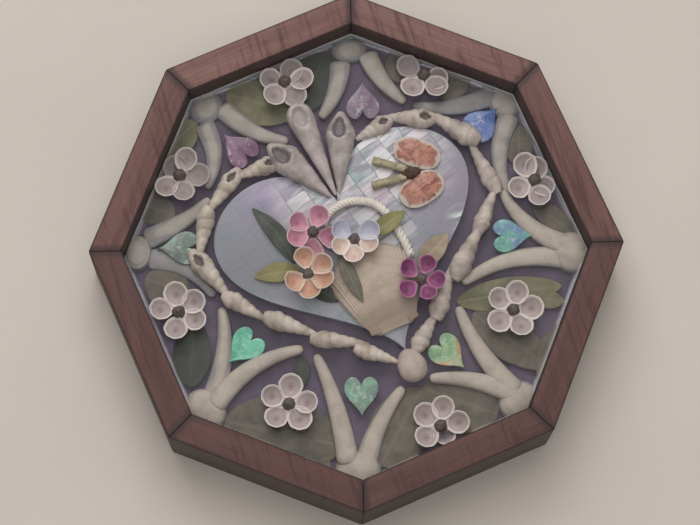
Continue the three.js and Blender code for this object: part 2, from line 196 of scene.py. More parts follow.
def choose(piece: Piece, part: Part, test: Callable[[object], bool]) -> None:
    """Selects, in edit mode, the parts that pass a test and no others.

    Args:
        piece: The piece, in edit mode.
        part: Which of its parts to pick from.
        test: Says of a part whether it is picked.
    """
    bpy.ops.mesh.select_all(action="DESELECT")
    mesh = bmesh.from_edit_mesh(piece.data)
    for item in getattr(mesh, part.value):
        if test(item):
            item.select_set(True)
    mesh.select_flush_mode()
    bmesh.update_edit_mesh(piece.data)


def points_of(piece: Piece) -> np.ndarray:
    """Every vertex's place, one row each.

    Args:
        piece: The piece.

    Returns:
        One row of x, y and z per vertex.
    """
    flat = np.empty(len(piece.data.vertices) * 3, np.float32)
    piece.data.vertices.foreach_get("co", flat)
    return flat.reshape(-1, 3).astype(float)


def mould(piece: Piece, rule: Callable[[np.ndarray], np.ndarray]) -> None:
    """Moves every vertex by a rule of its place."""
    piece.data.vertices.foreach_set("co", rule(points_of(piece)).astype(np.float32).ravel())
    piece.data.update()


def stamp(piece: Piece, name: str, values: np.ndarray | float) -> None:
    """Writes a value on every vertex, which a finish can read by name.

    Args:
        piece: The piece.
        name: Name of the mark.
        values: One value for all, or one per vertex.
    """
    layer = piece.data.attributes.get(name) or piece.data.attributes.new(name, "FLOAT", "POINT")
    every = np.broadcast_to(np.asarray(values, np.float32), len(piece.data.vertices))
    layer.data.foreach_set("value", np.ascontiguousarray(every))


def mark_shell(piece: Piece, along: np.ndarray, mouth: np.ndarray | float = 0) -> None:
    """Stamps the marks that a shell's finish reads.

    Args:
        piece: The shell.
        along: Each vertex's place along the shell.
        mouth: How far each vertex is in the mouth, from 0 to 1.
    """
    stamp(piece, "along", along)
    stamp(piece, "side", 0)
    stamp(piece, "mouth", mouth)


def modify(piece: Piece, kind: str, **settings: object) -> None:
    """Adds a modifier with these settings and applies it.

    Args:
        piece: The piece.
        kind: Kind of modifier.
        settings: Its settings, by name.
    """
    take(piece)
    tool = piece.modifiers.new(kind.lower(), kind)
    for key, value in settings.items():
        setattr(tool, key, value)
    bpy.ops.object.modifier_apply(modifier=tool.name)


def soften(piece: Piece, levels: int = 1) -> None:
    """Rounds a piece by subdivision."""
    modify(piece, "SUBSURF", levels=levels, render_levels=levels)


def copy_of(piece: Piece, name: str) -> Piece:
    """A copy with a mesh of its own.

    Args:
        piece: The piece to copy.
        name: The copy's name.

    Returns:
        The copy.
    """
    take(piece)
    bpy.ops.object.duplicate(linked=False)
    twin = bpy.context.active_object
    twin.name = twin.data.name = name
    return twin


def put(piece: Piece, matrix: Matrix) -> None:
    """Moves a piece by a matrix and puts its new place into its mesh.

    Args:
        piece: The piece.
        matrix: Where it goes, from where it is.
    """
    take(piece)
    piece.matrix_world = matrix
    bpy.ops.object.transform_apply(location=True, rotation=True, scale=True)


def join(pieces: list[Piece], name: str) -> Piece:
    """Joins pieces into one.

    Args:
        pieces: The pieces.
        name: The joined piece's name.

    Returns:
        The joined piece.
    """
    take(pieces[0])
    for piece in pieces[1:]:
        piece.select_set(True)
    bpy.ops.object.join()
    whole = bpy.context.active_object
    whole.name = whole.data.name = name
    return whole


def scrap(*pieces: Piece) -> None:
    """Throws away patterns that copies were taken from."""
    for piece in pieces:
        bpy.data.objects.remove(piece)


def settle(
    piece: Piece,
    finish: Finish,
    nodes: tuple[str, ...] = (),
    crease: float = 40,
) -> Piece:
    """Brings a shaped piece to metres, dresses it and ties it to the frame.

    Args:
        piece: The piece, in millimetres.
        finish: Its material.
        nodes: The frame's nodes that it stands for.
        crease: Edges sharper than this many degrees stay sharp.

    Returns:
        The finished piece.
    """
    put(piece, Matrix.Scale(MM, 4))
    bpy.ops.object.shade_smooth_by_angle(angle=math.radians(crease))
    piece.data.materials.clear()
    piece.data.materials.append(finish)
    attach(piece, "root")
    if nodes:
        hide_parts(*nodes)
    LOG.info("%s: %d faces, finish %s", piece.name, len(piece.data.polygons), finish.name)
    return piece


def drawn_bar(name: str, stations: list[Point], sides: int) -> Piece:
    """Draws a round bar out along +X from a disc, station by station.

    Args:
        name: The bar's name.
        stations: Distance along and radius of each ring.
        sides: Corners of a ring.

    Returns:
        The closed bar.
    """
    first, radius = stations[0]
    bpy.ops.mesh.primitive_circle_add(
        vertices=sides, radius=radius, fill_type="NGON", location=(first, 0, 0), rotation=(0, math.pi / 2, 0),
    )
    bar = just_added(name)
    with edit(bar, "FACE"):
        select_all()
        for (here, thick), (there, thin) in pairwise(stations):
            bpy.ops.mesh.extrude_region_move(TRANSFORM_OT_translate={"value": (there - here, 0, 0)})
            ratio = thin / thick
            bpy.ops.transform.resize(value=(1, ratio, ratio), center_override=(there, 0, 0))
        select_all()
        bpy.ops.mesh.normals_make_consistent(inside=False)
    return bar


def flat_sheet(name: str, lengthwise: int, crosswise: int) -> Piece:
    """A sheet from 0 to 1 along X and from -1 to 1 along Y, ready to be moulded.

    Args:
        name: Its name.
        lengthwise: Faces along X.
        crosswise: Faces along Y.

    Returns:
        The sheet.
    """
    bpy.ops.mesh.primitive_grid_add(
        x_subdivisions=lengthwise, y_subdivisions=crosswise, size=1, location=(0.5, 0, 0),
    )
    bpy.context.active_object.scale.y = 2
    sheet = just_added(name)
    flat = points_of(sheet)
    stamp(sheet, "along", flat[:, 0])
    stamp(sheet, "side", flat[:, 1])
    return sheet


def heart_points(turn: np.ndarray, width: float, length: float) -> tuple[np.ndarray, np.ndarray]:
    """Points of a heart with its tip towards -Y, about the middle of its length.

    Args:
        turn: Angles round the heart, in radians.
        width: Width of the heart.
        length: Length of the heart.

    Returns:
        The points' x and y.
    """
    lowest, span = -17.0, 28.9
    lift = 13 * np.cos(turn) - 5 * np.cos(2 * turn) - 2 * np.cos(3 * turn) - np.cos(4 * turn)
    return np.sin(turn) ** 3 * width / 2, ((lift - lowest) / span - 0.5) * length


def heart_plate(name: str, width: float, length: float, thick: float, edge: float, corners: int) -> Piece:
    """A heart sawn from sheet, its upper edge rounded.

    Args:
        name: The plate's name.
        width: Across the lobes.
        length: From lobes to tip.
        thick: Thickness, upwards from z = 0.
        edge: How much of the upper edge is rounded off.
        corners: Points round the outline.

    Returns:
        The closed plate.
    """
    bpy.ops.mesh.primitive_circle_add(vertices=corners, radius=1, fill_type="NGON")
    plate = just_added(name)

    def outline(disc: np.ndarray) -> np.ndarray:
        """Takes a disc to the heart's outline.

        Args:
            disc: Points of the disc.

        Returns:
            The moved points.
        """
        x, y = heart_points(np.arctan2(disc[:, 0], disc[:, 1]), width, length)
        return np.column_stack([x, y, np.zeros(len(x))])

    mould(plate, outline)
    trim = (1 - 2 * edge / length, 1 - 2 * edge / length, 1)
    with edit(plate, "FACE"):
        select_all()
        bpy.ops.mesh.extrude_region_move(TRANSFORM_OT_translate={"value": (0, 0, thick - edge)})
        bpy.ops.mesh.extrude_region_move(TRANSFORM_OT_translate={"value": (0, 0, edge * 0.7)})
        bpy.ops.transform.resize(value=[1 - (1 - part) * 0.4 for part in trim], center_override=(0, 0, thick))
        bpy.ops.mesh.extrude_region_move(TRANSFORM_OT_translate={"value": (0, 0, edge * 0.3)})
        bpy.ops.transform.resize(value=trim, center_override=(0, 0, thick))
        select_all()
        bpy.ops.mesh.normals_make_consistent(inside=False)
    return plate


# Finishes

class Recipe:
    """Node graph of one finish, with a short call for each kind of node that it takes."""

    def __init__(self, name: str) -> None:
        """Starts a material with its shader.

        Args:
            name: The material's name.
        """
        self.material = bpy.data.materials.new(name)
        self.material.use_nodes = True
        self.nodes = self.material.node_tree.nodes
        self.links = self.material.node_tree.links
        self.shader = self.nodes["Principled BSDF"]

    def feed(self, socket: Socket, value: object) -> None:
        """Links a socket to another one, or sets its value."""
        if isinstance(value, Socket):
            self.links.new(value, socket)
        else:
            socket.default_value = value

    def add(self, kind: str, settings: dict[str, object], **inputs: object) -> bpy.types.Node:
        """Adds a node, sets its choices and feeds its inputs.

        Args:
            kind: Kind of node.
            settings: Its choices, by name.
            inputs: Values or sockets for its inputs, by name.

        Returns:
            The node.
        """
        node = self.nodes.new("ShaderNode" + kind)
        for key, value in settings.items():
            setattr(node, key, value)
        for key, value in inputs.items():
            self.feed(node.inputs[key], value)
        return node

    def place(self, turn: float = 0, shift: float = 0) -> Socket:
        """The place on the piece in millimetres, turned about +Z by degrees and shifted.

        Args:
            turn: Turn about +Z, in degrees.
            shift: How far the place is shifted.

        Returns:
            The place.
        """
        here = self.add("TexCoord", {}).outputs["Object"]
        spun = self.add("Mapping", {}, Vector=here, Scale=(1 / MM,) * 3, Rotation=(0, 0, math.radians(turn)))
        spun.inputs["Location"].default_value = (0, 0, 0)
        if not shift:
            return spun.outputs["Vector"]
        moved = self.add("VectorMath", {"operation": "ADD"})
        self.feed(moved.inputs[0], spun.outputs["Vector"])
        self.feed(moved.inputs[1], (shift, 0.61 * shift, 0.37 * shift))
        return moved.outputs["Vector"]

    def stretched(self, vector: Socket, by: tuple[float, float, float]) -> Socket:
        """A place with its axes stretched.

        Args:
            vector: The place.
            by: Factor for each axis.

        Returns:
            The stretched place.
        """
        node = self.add("VectorMath", {"operation": "MULTIPLY"})
        self.feed(node.inputs[0], vector)
        self.feed(node.inputs[1], by)
        return node.outputs["Vector"]

    def split(self, vector: Socket) -> tuple[Socket, Socket, Socket]:
        """The three axes of a place."""
        node = self.add("SeparateXYZ", {}, Vector=vector)
        return node.outputs["X"], node.outputs["Y"], node.outputs["Z"]

    def noise(self, vector: Socket, scale: float, detail: float = 3, distortion: float = 0) -> Socket:
        """Cloudy noise between 0 and 1."""
        node = self.add("TexNoise", {}, Vector=vector, Scale=scale, Detail=detail, Distortion=distortion)
        return node.outputs["Fac"]

    def mark(self, name: str) -> Socket:
        """A value that was stamped on the vertices."""
        return self.add("Attribute", {"attribute_name": name}).outputs["Fac"]

    def sum(self, operation: str, one: object, other: object = 0.0, clamp: bool = False) -> Socket:
        """Arithmetic on two values.

        Args:
            operation: Name of the operation.
            one: First value.
            other: Second value.
            clamp: Whether the result stays between 0 and 1.

        Returns:
            The result.
        """
        node = self.add("Math", {"operation": operation, "use_clamp": clamp})
        self.feed(node.inputs[0], one)
        self.feed(node.inputs[1], other)
        return node.outputs[0]

    def times(self, one: object, other: object) -> Socket:
        """The product of two values."""
        return self.sum("MULTIPLY", one, other)

    def plus(self, one: object, other: object) -> Socket:
        """The sum of two values."""
        return self.sum("ADD", one, other)

    def ease(self, value: Socket, low: float, high: float, first: float = 0, last: float = 1) -> Socket:
        """Eases from first to last as a value goes from low to high.

        Args:
            value: What is followed.
            low: Value where easing starts.
            high: Value where it ends.
            first: Result at low.
            last: Result at high.

        Returns:
            The result.
        """
        node = self.add("MapRange", {"interpolation_type": "SMOOTHSTEP"}, Value=value)
        for key, number in zip(("From Min", "From Max", "To Min", "To Max"), (low, high, first, last)):
            node.inputs[key].default_value = number
        return node.outputs["Result"]

    def ramp(self, value: Socket, *stops: tuple[float, str]) -> Socket:
        """Colours along a value.

        Args:
            value: What is followed.
            stops: Places along the value, each with its colour code.

        Returns:
            The colour.
        """
        node = self.add("ValToRGB", {}, Fac=value)
        band = node.color_ramp.elements
        while len(band) < len(stops):
            band.new(0.5)
        for element, (at, code) in zip(band, stops):
            element.position = at
            element.color = colour(code)
        return node.outputs["Color"]

    def blend(self, share: object, one: object, other: object, mode: str = "MIX") -> Socket:
        """Mixes two colours, the second by its share.

        Args:
            share: Share of the second colour.
            one: First colour.
            other: Second colour.
            mode: How the two are mixed.

        Returns:
            The mixed colour.
        """
        node = self.add("Mix", {"data_type": "RGBA", "blend_type": mode})
        for index, value in ((0, share), (6, one), (7, other)):
            self.feed(node.inputs[index], colour(value) if isinstance(value, str) else value)
        return node.outputs[2]

    def near(self, vector: Socket, spot: Point, reach: float) -> Socket:
        """1 at a spot on the face, easing to 0 at its reach.

        Args:
            vector: The place.
            spot: The spot's x and y.
            reach: Distance where it ends.

        Returns:
            The nearness.
        """
        node = self.add("VectorMath", {"operation": "DISTANCE"})
        self.feed(node.inputs[0], self.stretched(vector, (1, 1, 0)))
        self.feed(node.inputs[1], (*spot, 0))
        return self.ease(node.outputs["Value"], 0, reach, 1, 0)

    def sunk(self, tint: Socket, share: float = 0.45, veil: str = "8b92a4") -> Socket:
        """Dulls a colour towards grey blue where it lies under the resin.

        Args:
            tint: The colour.
            share: How far it is dulled.
            veil: Code of the colour it is dulled towards.

        Returns:
            The dulled colour.
        """
        _, _, height = self.split(self.place())
        depth = self.ease(height, RESIN_TOP - 1.5, RESIN_TOP + 0.3, share, 0)
        return self.blend(depth, tint, veil)

    def relief(self, height: Socket, depth: float, strength: float = 0.5) -> None:
        """Bump of a depth in millimetres on the shader."""
        node = self.add("Bump", {}, Height=height, Distance=depth * MM, Strength=strength)
        self.feed(self.shader.inputs["Normal"], node.outputs["Normal"])

    def dress(self, **inputs: object) -> Finish:
        """Feeds the shader's sockets, named with _ for a space, and returns the material."""
        for key, value in inputs.items():
            self.feed(self.shader.inputs[key.replace("_", " ")], value)
        return self.material


@dataclass(frozen=True)
class Mahogany:
    """Reddish hardwood with fine pores, slanting darker strokes and dark end grain at the mitres; its side
    walls are painted darker as painted shade.
    """

    name: str
    turn: float = 0
    seed: float = 0
    light: str = "8a625c"
    dark: str = "613f3c"
    slant: float = 8

    def make(self) -> Finish:
        """The finish, its grain along the rail that faces this turn.

        Returns:
            The material.
        """
        recipe = Recipe(self.name)
        local = recipe.place(turn=-self.turn)
        x, y, z = recipe.split(local)
        shifted = recipe.place(turn=-self.turn, shift=self.seed)
        broad = recipe.noise(recipe.stretched(shifted, (0.16, 0.012, 0.16)), 1, 4, 0.6)
        fine = recipe.noise(recipe.stretched(shifted, (1.6, 0.07, 1.6)), 1, 4)
        falling = recipe.stretched(recipe.place(turn=self.slant, shift=self.seed), (0.55, 0.035, 0.05))
        strokes = recipe.noise(falling, 1, 4, 0.3)
        tone = recipe.plus(recipe.times(broad, 0.5), recipe.times(fine, 0.5))
        wood = recipe.ramp(tone, (0.3, self.dark), (0.7, self.light))
        wood = recipe.blend(recipe.ease(strokes, 0.5, 0.68, 0, 0.55), wood, "472e2e")
        pores = recipe.noise(recipe.stretched(shifted, (3.2, 0.22, 3.2)), 1, 2)
        wood = recipe.blend(recipe.ease(pores, 0.6, 0.72, 0, 0.45), wood, "3a2424")
        slope = math.tan(EIGHTH / 2)
        end = recipe.sum("SUBTRACT", recipe.times(x, slope), recipe.sum("ABSOLUTE", y))
        ragged = recipe.plus(end, recipe.times(fine, 2.4))
        wood = recipe.blend(recipe.ease(ragged, 1.8, 5.2, 0.8, 0), wood, "3d3234")
        inner, outer = recipe.sum("SUBTRACT", x, RAIL_INSIDE), recipe.sum("SUBTRACT", RAIL_OUTSIDE, x)
        edge = recipe.sum("MINIMUM", inner, outer)
        edge = recipe.sum("MAXIMUM", edge, recipe.sum("SUBTRACT", RIM_TOP, z))
        wood = recipe.blend(recipe.ease(edge, 0.2, 1.0, 0.8, 0), wood, "2e2223")
        # Side walls painted darker below the top face: painted shade.
        wall = recipe.ease(z, RIM_TOP - 1.4, RIM_TOP - 0.4, 0.72, 0)
        wood = recipe.blend(wall, wood, "403a39")
        recipe.relief(recipe.plus(fine, pores), 0.12, 0.5)
        return recipe.dress(Base_Color=wood, Roughness=recipe.ease(fine, 0.3, 0.7, 0.5, 0.68))


@dataclass(frozen=True)
class VioletLining:
    """Dark violet paper under the resin, unevenly soaked, and glowing faintly with its own colour, painted
    light that lifts its shade.
    """

    name: str = "violet_paper"
    deep: str = "574d59"
    pale: str = "706372"
    painted_glow: float = 0.16

    def make(self) -> Finish:
        """The finish.

        Returns:
            The material.
        """
        recipe = Recipe(self.name)
        here = recipe.place()
        cloud = recipe.noise(here, 0.07, 4, 0.5)
        fibre = recipe.noise(recipe.stretched(here, (1.4, 0.5, 1)), 1, 4)
        paper = recipe.ramp(cloud, (0.32, self.deep), (0.7, self.pale))
        paper = recipe.blend(recipe.ease(fibre, 0.45, 0.75, 0, 0.3), paper, "665a68")
        recipe.relief(fibre, 0.15)
        # The paper glows with its own colour: painted light that lifts its shade.
        return recipe.dress(
            Base_Color=paper, Roughness=recipe.ease(fibre, 0.3, 0.7, 0.75, 0.95),
            Emission_Color=paper, Emission_Strength=self.painted_glow,
        )


@dataclass(frozen=True)
class ClearResin:
    """Clear cast resin with a faint unevenness on its face, whitish and less clear along the walls as a
    painted highlight of its edge.
    """

    name: str = "clear_resin_pour"
    glint_edge_clearness: float = 0.62

    def make(self) -> Finish:
        """The finish.

        Returns:
            The material.
        """
        recipe = Recipe(self.name)
        swell = recipe.noise(recipe.place(), 0.06, 2)
        recipe.relief(swell, 0.6, 0.25)
        # Near the walls the resin turns whitish and less clear: a painted highlight along its edge.
        clear = recipe.ease(recipe.mark("edge"), 0.15, 0.9, 1, self.glint_edge_clearness)
        return recipe.dress(Base_Color=colour("eceef4"), Roughness=0.04, IOR=1.47, Transmission_Weight=clear)


@dataclass(frozen=True)
class MotherOfPearl:
    """Sheet pearl in strips: slate blue on the left, crackled above, lilac to the right, with a painted sheen
    of white, pink and green glints above and a painted glint to the right.
    """

    name: str = "mother_of_pearl_sheet"
    strip: float = 5.2
    tile: float = 9.5
    turn: float = -12

    def make(self) -> Finish:
        """The finish.

        Returns:
            The material.
        """
        recipe = Recipe(self.name)
        here = recipe.place()
        cloud = recipe.noise(here, 0.045, 4, 1.2)
        streak = recipe.noise(recipe.stretched(recipe.place(turn=self.turn), (0.05, 0.3, 0.2)), 1, 4, 1.5)
        sheet = recipe.ramp(cloud, (0.28, "7d868f"), (0.42, "8f969e"), (0.55, "9793a2"), (0.72, "8e9b9f"))
        lilac = recipe.near(here, (48, 12), 34)
        sheet = recipe.blend(recipe.times(lilac, 0.75), sheet, "9a8fa4")
        violet = recipe.near(here, (-25, 37), 19)
        sheet = recipe.blend(recipe.times(violet, 0.7), sheet, "9386a8")
        slate = recipe.near(here, (-46, 10), 34)
        sheet = recipe.blend(recipe.times(slate, 0.6), sheet, "7b8187")
        # Painted sheen: where the sheet catches the light, above the middle and to its right.
        painted_sheen = recipe.sum("MAXIMUM", recipe.near(here, (-4, 27), 25), recipe.near(here, (28, 32), 35))
        painted_sheen = recipe.sum("MAXIMUM", painted_sheen, recipe.times(recipe.near(here, (14, 6), 22), 0.75))
        glint = recipe.ease(streak, 0.42, 0.66)
        shine = recipe.times(painted_sheen, recipe.ease(streak, 0.38, 0.62, 0.12, 1))
        glow = recipe.ramp(streak, (0.3, "b4c0c6"), (0.5, "dcd6e0"), (0.7, "f6f0f5"))
        sheet = recipe.blend(shine, sheet, glow)
        # Pink and green flashes inside the painted sheen.
        patch = recipe.noise(recipe.place(shift=40), 0.11, 3, 1)
        sheet = recipe.blend(
            recipe.times(painted_sheen, recipe.ease(patch, 0.56, 0.7, 0, 0.55)), sheet, "f0b9d6",
        )
        sheet = recipe.blend(
            recipe.times(painted_sheen, recipe.ease(patch, 0.44, 0.32, 0, 0.5)), sheet, "b5e0cf",
        )
        # A painted glint, low on the right.
        low = recipe.times(recipe.near(here, (47, -4), 9), glint)
        sheet = recipe.blend(low, sheet, "e2f2ea")
        line, strip_tone = self.joints(recipe)
        # Inside the sheen each piece is painted lit white or dimmed by its own value: painted highlight and
        # shade.
        lit = recipe.times(painted_sheen, recipe.ease(strip_tone, 0.4, 0.9, 0, 0.85))
        sheet = recipe.blend(lit, sheet, "fdfafc")
        sheen_dimmed = recipe.times(painted_sheen, recipe.ease(strip_tone, 0.35, 0.0, 0, 0.3))
        sheet = recipe.blend(sheen_dimmed, sheet, "8793a0")
        crackle = recipe.times(line, recipe.ease(painted_sheen, 0.05, 0.5, 0.08, 0.6))
        sheet = recipe.blend(crackle, sheet, "68737f")
        recipe.relief(recipe.plus(streak, recipe.times(line, -1.0)), 0.12, 0.4)
        return recipe.dress(
            Base_Color=sheet, Roughness=recipe.ease(streak, 0.3, 0.7, 0.34, 0.2),
            Coat_Weight=0.5, Coat_Roughness=0.12,
        )

    def joints(self, recipe: Recipe) -> tuple[Socket, Socket]:
        """Lays the strips out.

        Args:
            recipe: The graph that is being made.

        Returns:
            1 along the fine joints between pieces, and a value of its own for each piece.
        """
        leaning = recipe.place(turn=self.turn)
        drift = recipe.times(recipe.noise(recipe.place(), 0.09, 3), 3.2)
        x, y, _ = recipe.split(leaning)
        lines = []
        number = recipe.add("CombineXYZ", {})
        for k, (axis, pitch) in enumerate(((y, self.strip), (x, self.tile))):
            count = recipe.sum("DIVIDE", recipe.plus(axis, drift), pitch)
            step = recipe.sum("FRACT", recipe.plus(count, 0.5))
            lines.append(recipe.ease(recipe.sum("ABSOLUTE", recipe.sum("SUBTRACT", step, 0.5)), 0.05, 0.0))
            recipe.feed(number.inputs[k], recipe.sum("FLOOR", count))
        own = recipe.add("TexWhiteNoise", {}, Vector=number.outputs[0])
        return recipe.sum("MAXIMUM", lines[0], lines[1]), own.outputs["Value"]


@dataclass(frozen=True)
class Abalone:
    """Polished abalone: three colours swirled together, with lit flecks."""

    name: str
    base: str
    swirl: str
    glow: str
    seed: float

    def make(self) -> Finish:
        """The finish.

        Returns:
            The material.
        """
        recipe = Recipe(self.name)
        here = recipe.place(shift=self.seed)
        bands = recipe.noise(here, 0.08, 3, 1.2)
        flecks = recipe.noise(here, 0.3, 4, 1.5)
        shell = recipe.ramp(bands, (0.36, self.base), (0.5, self.swirl), (0.66, self.glow))
        shell = recipe.blend(recipe.ease(flecks, 0.55, 0.74, 0, 0.45), shell, "dfeae8")
        shell = recipe.blend(recipe.ease(flecks, 0.42, 0.3, 0, 0.45), shell, "6a7484")
        recipe.relief(bands, 0.2, 0.3)
        return recipe.dress(
            Base_Color=recipe.sunk(shell, 0.25), Roughness=recipe.ease(flecks, 0.3, 0.7, 0.18, 0.32),
            Coat_Weight=0.4, Coat_Roughness=0.1,
        )


@dataclass(frozen=True)
class ShellSkin:
    """Plain shell: mottled, with growth lines across its length, fine flutes along it, and a mouth painted
    darker as painted shade.
    """

    name: str
    light: str
    dark: str
    lines: float = 26
    gloss: float = 0.42
    veil: float = 0.4
    mouth: str = "696260"
    seed: float = 0
    flutes: float = 34

    def make(self) -> Finish:
        """The finish, read from the marks along, side and mouth.

        Returns:
            The material.
        """
        recipe = Recipe(self.name)
        here = recipe.place(shift=self.seed)
        mottle = recipe.noise(here, 0.16, 4, 0.4)
        grit = recipe.noise(here, 1.3, 4)
        along = recipe.plus(recipe.mark("along"), recipe.times(mottle, 0.06))
        growth = recipe.sum("SINE", recipe.times(along, self.lines * 2 * math.pi))
        skin = recipe.ramp(mottle, (0.3, self.dark), (0.62, self.light))
        skin = recipe.blend(recipe.ease(growth, 0.3, 1, 0, 0.13), skin, self.dark)
        flutes = recipe.sum("SINE", recipe.times(recipe.mark("side"), self.flutes * 2 * math.pi))
        skin = recipe.blend(recipe.ease(flutes, 0.2, 1, 0, 0.12), skin, self.dark)
        skin = recipe.blend(recipe.ease(grit, 0.58, 0.75, 0, 0.3), skin, "8d8378")
        # The mouth is painted darker: painted shade in its hollow.
        skin = recipe.blend(recipe.ease(recipe.mark("mouth"), 0.1, 0.75), skin, self.mouth)
        skin = recipe.sunk(skin, self.veil)
        fine = recipe.times(recipe.plus(growth, flutes), 0.4)
        recipe.relief(recipe.plus(fine, grit), 0.1, 0.35)
        rough = recipe.ease(grit, 0.3, 0.7, self.gloss, self.gloss + 0.16)
        return recipe.dress(Base_Color=skin, Roughness=rough)


@dataclass(frozen=True)
class CupSkin:
    """Inside of a small cup shell: pale rim, a hollow that darkens towards its middle, growth rings and a
    tone for each petal.
    """

    name: str
    rim: str
    bowl: str
    heart: str
    alt: str = "8f93a8"
    veil: float = 0.4
    gloss: float = 0.4

    def make(self) -> Finish:
        """The finish, read from the marks ring and tone.

        Returns:
            The material.
        """
        recipe = Recipe(self.name)
        here = recipe.place()
        mottle = recipe.noise(here, 0.45, 4, 0.5)
        ring = recipe.plus(recipe.mark("ring"), recipe.times(mottle, 0.12))
        skin = recipe.ramp(ring, (0.18, self.heart), (0.55, self.bowl), (0.86, self.bowl), (0.98, self.rim))
        rings = recipe.sum("SINE", recipe.times(ring, 36.0))
        skin = recipe.blend(recipe.ease(rings, 0.2, 1, 0, 0.28), skin, self.rim)
        tone = recipe.mark("tone")
        skin = recipe.blend(recipe.ease(tone, 0.6, 1.0, 0, 0.75), skin, self.alt)
        skin = recipe.blend(recipe.ease(mottle, 0.56, 0.74, 0, 0.3), skin, self.heart)
        skin = recipe.sunk(skin, self.veil)
        recipe.relief(recipe.plus(rings, mottle), 0.09, 0.4)
        rough = recipe.ease(mottle, 0.3, 0.7, self.gloss, self.gloss + 0.15)
        return recipe.dress(Base_Color=skin, Roughness=rough)


@dataclass(frozen=True)
class LeafSkin:
    """Pressed leaf or leaf-thin shell, with a midrib and blotches."""

    name: str
    light: str
    dark: str
    vein: str
    veil: float = 0.3
    seed: float = 0

    def make(self) -> Finish:
        """The finish, read from the marks along and side.

        Returns:
            The material.
        """
        recipe = Recipe(self.name)
        here = recipe.place(shift=self.seed)
        blotch = recipe.noise(here, 0.12, 4, 0.8)
        fine = recipe.noise(here, 0.9, 4)
        leaf = recipe.ramp(blotch, (0.32, self.dark), (0.66, self.light))
        off = recipe.sum("ABSOLUTE", recipe.mark("side"))
        leaf = recipe.blend(recipe.ease(off, 0.02, 0.12, 0.5, 0), leaf, self.vein)
        slanted = recipe.sum("SUBTRACT", recipe.mark("along"), recipe.times(off, 0.14))
        ribs = recipe.sum("SINE", recipe.times(slanted, 70.0))
        leaf = recipe.blend(recipe.ease(ribs, 0.6, 1, 0, 0.09), leaf, self.vein)
        leaf = recipe.blend(recipe.ease(off, 0.82, 1, 0, 0.4), leaf, self.dark)
        leaf = recipe.sunk(leaf, self.veil, "7d8480")
        recipe.relief(recipe.plus(recipe.times(ribs, 0.3), fine), 0.12, 0.4)
        return recipe.dress(Base_Color=leaf, Roughness=recipe.ease(fine, 0.3, 0.7, 0.5, 0.7))


@dataclass(frozen=True)
class ScallopSkin:
    """Tan scallop, browner towards the hinge, with lines of growth across its ribs; grooves painted darker
    and crests lighter as painted shade and light.
    """

    name: str = "tan_scallop_valve"
    light: str = "bfb0a3"
    dark: str = "85776a"
    hinge: str = "9a8a7c"

    def make(self) -> Finish:
        """The finish, read from the marks along and rib.

        Returns:
            The material.
        """
        recipe = Recipe(self.name)
        here = recipe.place()
        mottle = recipe.noise(here, 0.14, 4, 0.6)
        grit = recipe.noise(here, 1.1, 4)
        # Grooves between the ribs painted dark and crests light: painted shade and light across the ribs.
        skin = recipe.ramp(recipe.mark("rib"), (0.05, self.dark), (0.7, self.light))
        skin = recipe.blend(recipe.ease(mottle, 0.45, 0.7, 0, 0.35), skin, self.dark)
        out = recipe.plus(recipe.mark("along"), recipe.times(mottle, 0.1))
        skin = recipe.blend(recipe.ease(out, 0.62, 0.15, 0, 0.6), skin, self.hinge)
        growth = recipe.sum("SINE", recipe.times(out, 60.0))
        skin = recipe.blend(recipe.ease(growth, 0.6, 1, 0, 0.2), skin, self.hinge)
        recipe.relief(recipe.plus(growth, grit), 0.1, 0.35)
        return recipe.dress(Base_Color=skin, Roughness=recipe.ease(grit, 0.3, 0.7, 0.45, 0.62))


@dataclass(frozen=True)
class RopeFibre:
    """Pale twisted cord, with fibres along the strands."""

    name: str = "pale_rope_fibre"
    light: str = "faf5ee"
    dark: str = "d2cac0"

    def make(self) -> Finish:
        """The finish.

        Returns:
            The material.
        """
        recipe = Recipe(self.name)
        here = recipe.place()
        fibre = recipe.noise(recipe.stretched(here, (1, 1, 2.5)), 1.8, 4, 0.6)
        cloud = recipe.noise(here, 0.2, 3)
        cord = recipe.ramp(fibre, (0.32, self.dark), (0.64, self.light))
        cord = recipe.blend(recipe.ease(cloud, 0.45, 0.7, 0, 0.3), cord, "a89e90")
        recipe.relief(fibre, 0.25, 0.6)
        return recipe.dress(Base_Color=cord, Roughness=recipe.ease(fibre, 0.3, 0.7, 0.75, 0.92))


@dataclass(frozen=True)
class WingShell:
    """Orange wing shell, mottled with brown and cream towards its margin."""

    name: str = "orange_wing_shell"
    body: str = "b98371"
    blot: str = "8c5a54"
    margin: str = "c8bfb6"

    def make(self) -> Finish:
        """The finish, read from the marks along and side.

        Returns:
            The material.
        """
        recipe = Recipe(self.name)
        here = recipe.place()
        mottle = recipe.noise(here, 0.28, 4, 1.0)
        grit = recipe.noise(here, 1.2, 4)
        off = recipe.sum("ABSOLUTE", recipe.mark("side"))
        along = recipe.times(recipe.mark("along"), 2.0)
        ends = recipe.sum("ABSOLUTE", recipe.sum("SUBTRACT", along, 1.0))
        out = recipe.sum("MAXIMUM", recipe.sum("POWER", off, 2.0), recipe.sum("POWER", ends, 2.0))
        out = recipe.plus(out, recipe.times(recipe.sum("SUBTRACT", mottle, 0.5), 0.9))
        skin = recipe.ramp(mottle, (0.35, self.blot), (0.56, self.body))
        skin = recipe.blend(recipe.ease(out, 0.5, 0.82), skin, self.margin)
        skin = recipe.blend(recipe.ease(grit, 0.6, 0.74, 0, 0.45), skin, "e6d3bd")
        recipe.relief(recipe.plus(mottle, grit), 0.15, 0.4)
        return recipe.dress(
            Base_Color=skin, Roughness=recipe.ease(grit, 0.3, 0.7, 0.28, 0.5),
            Coat_Weight=0.3, Coat_Roughness=0.2,
        )


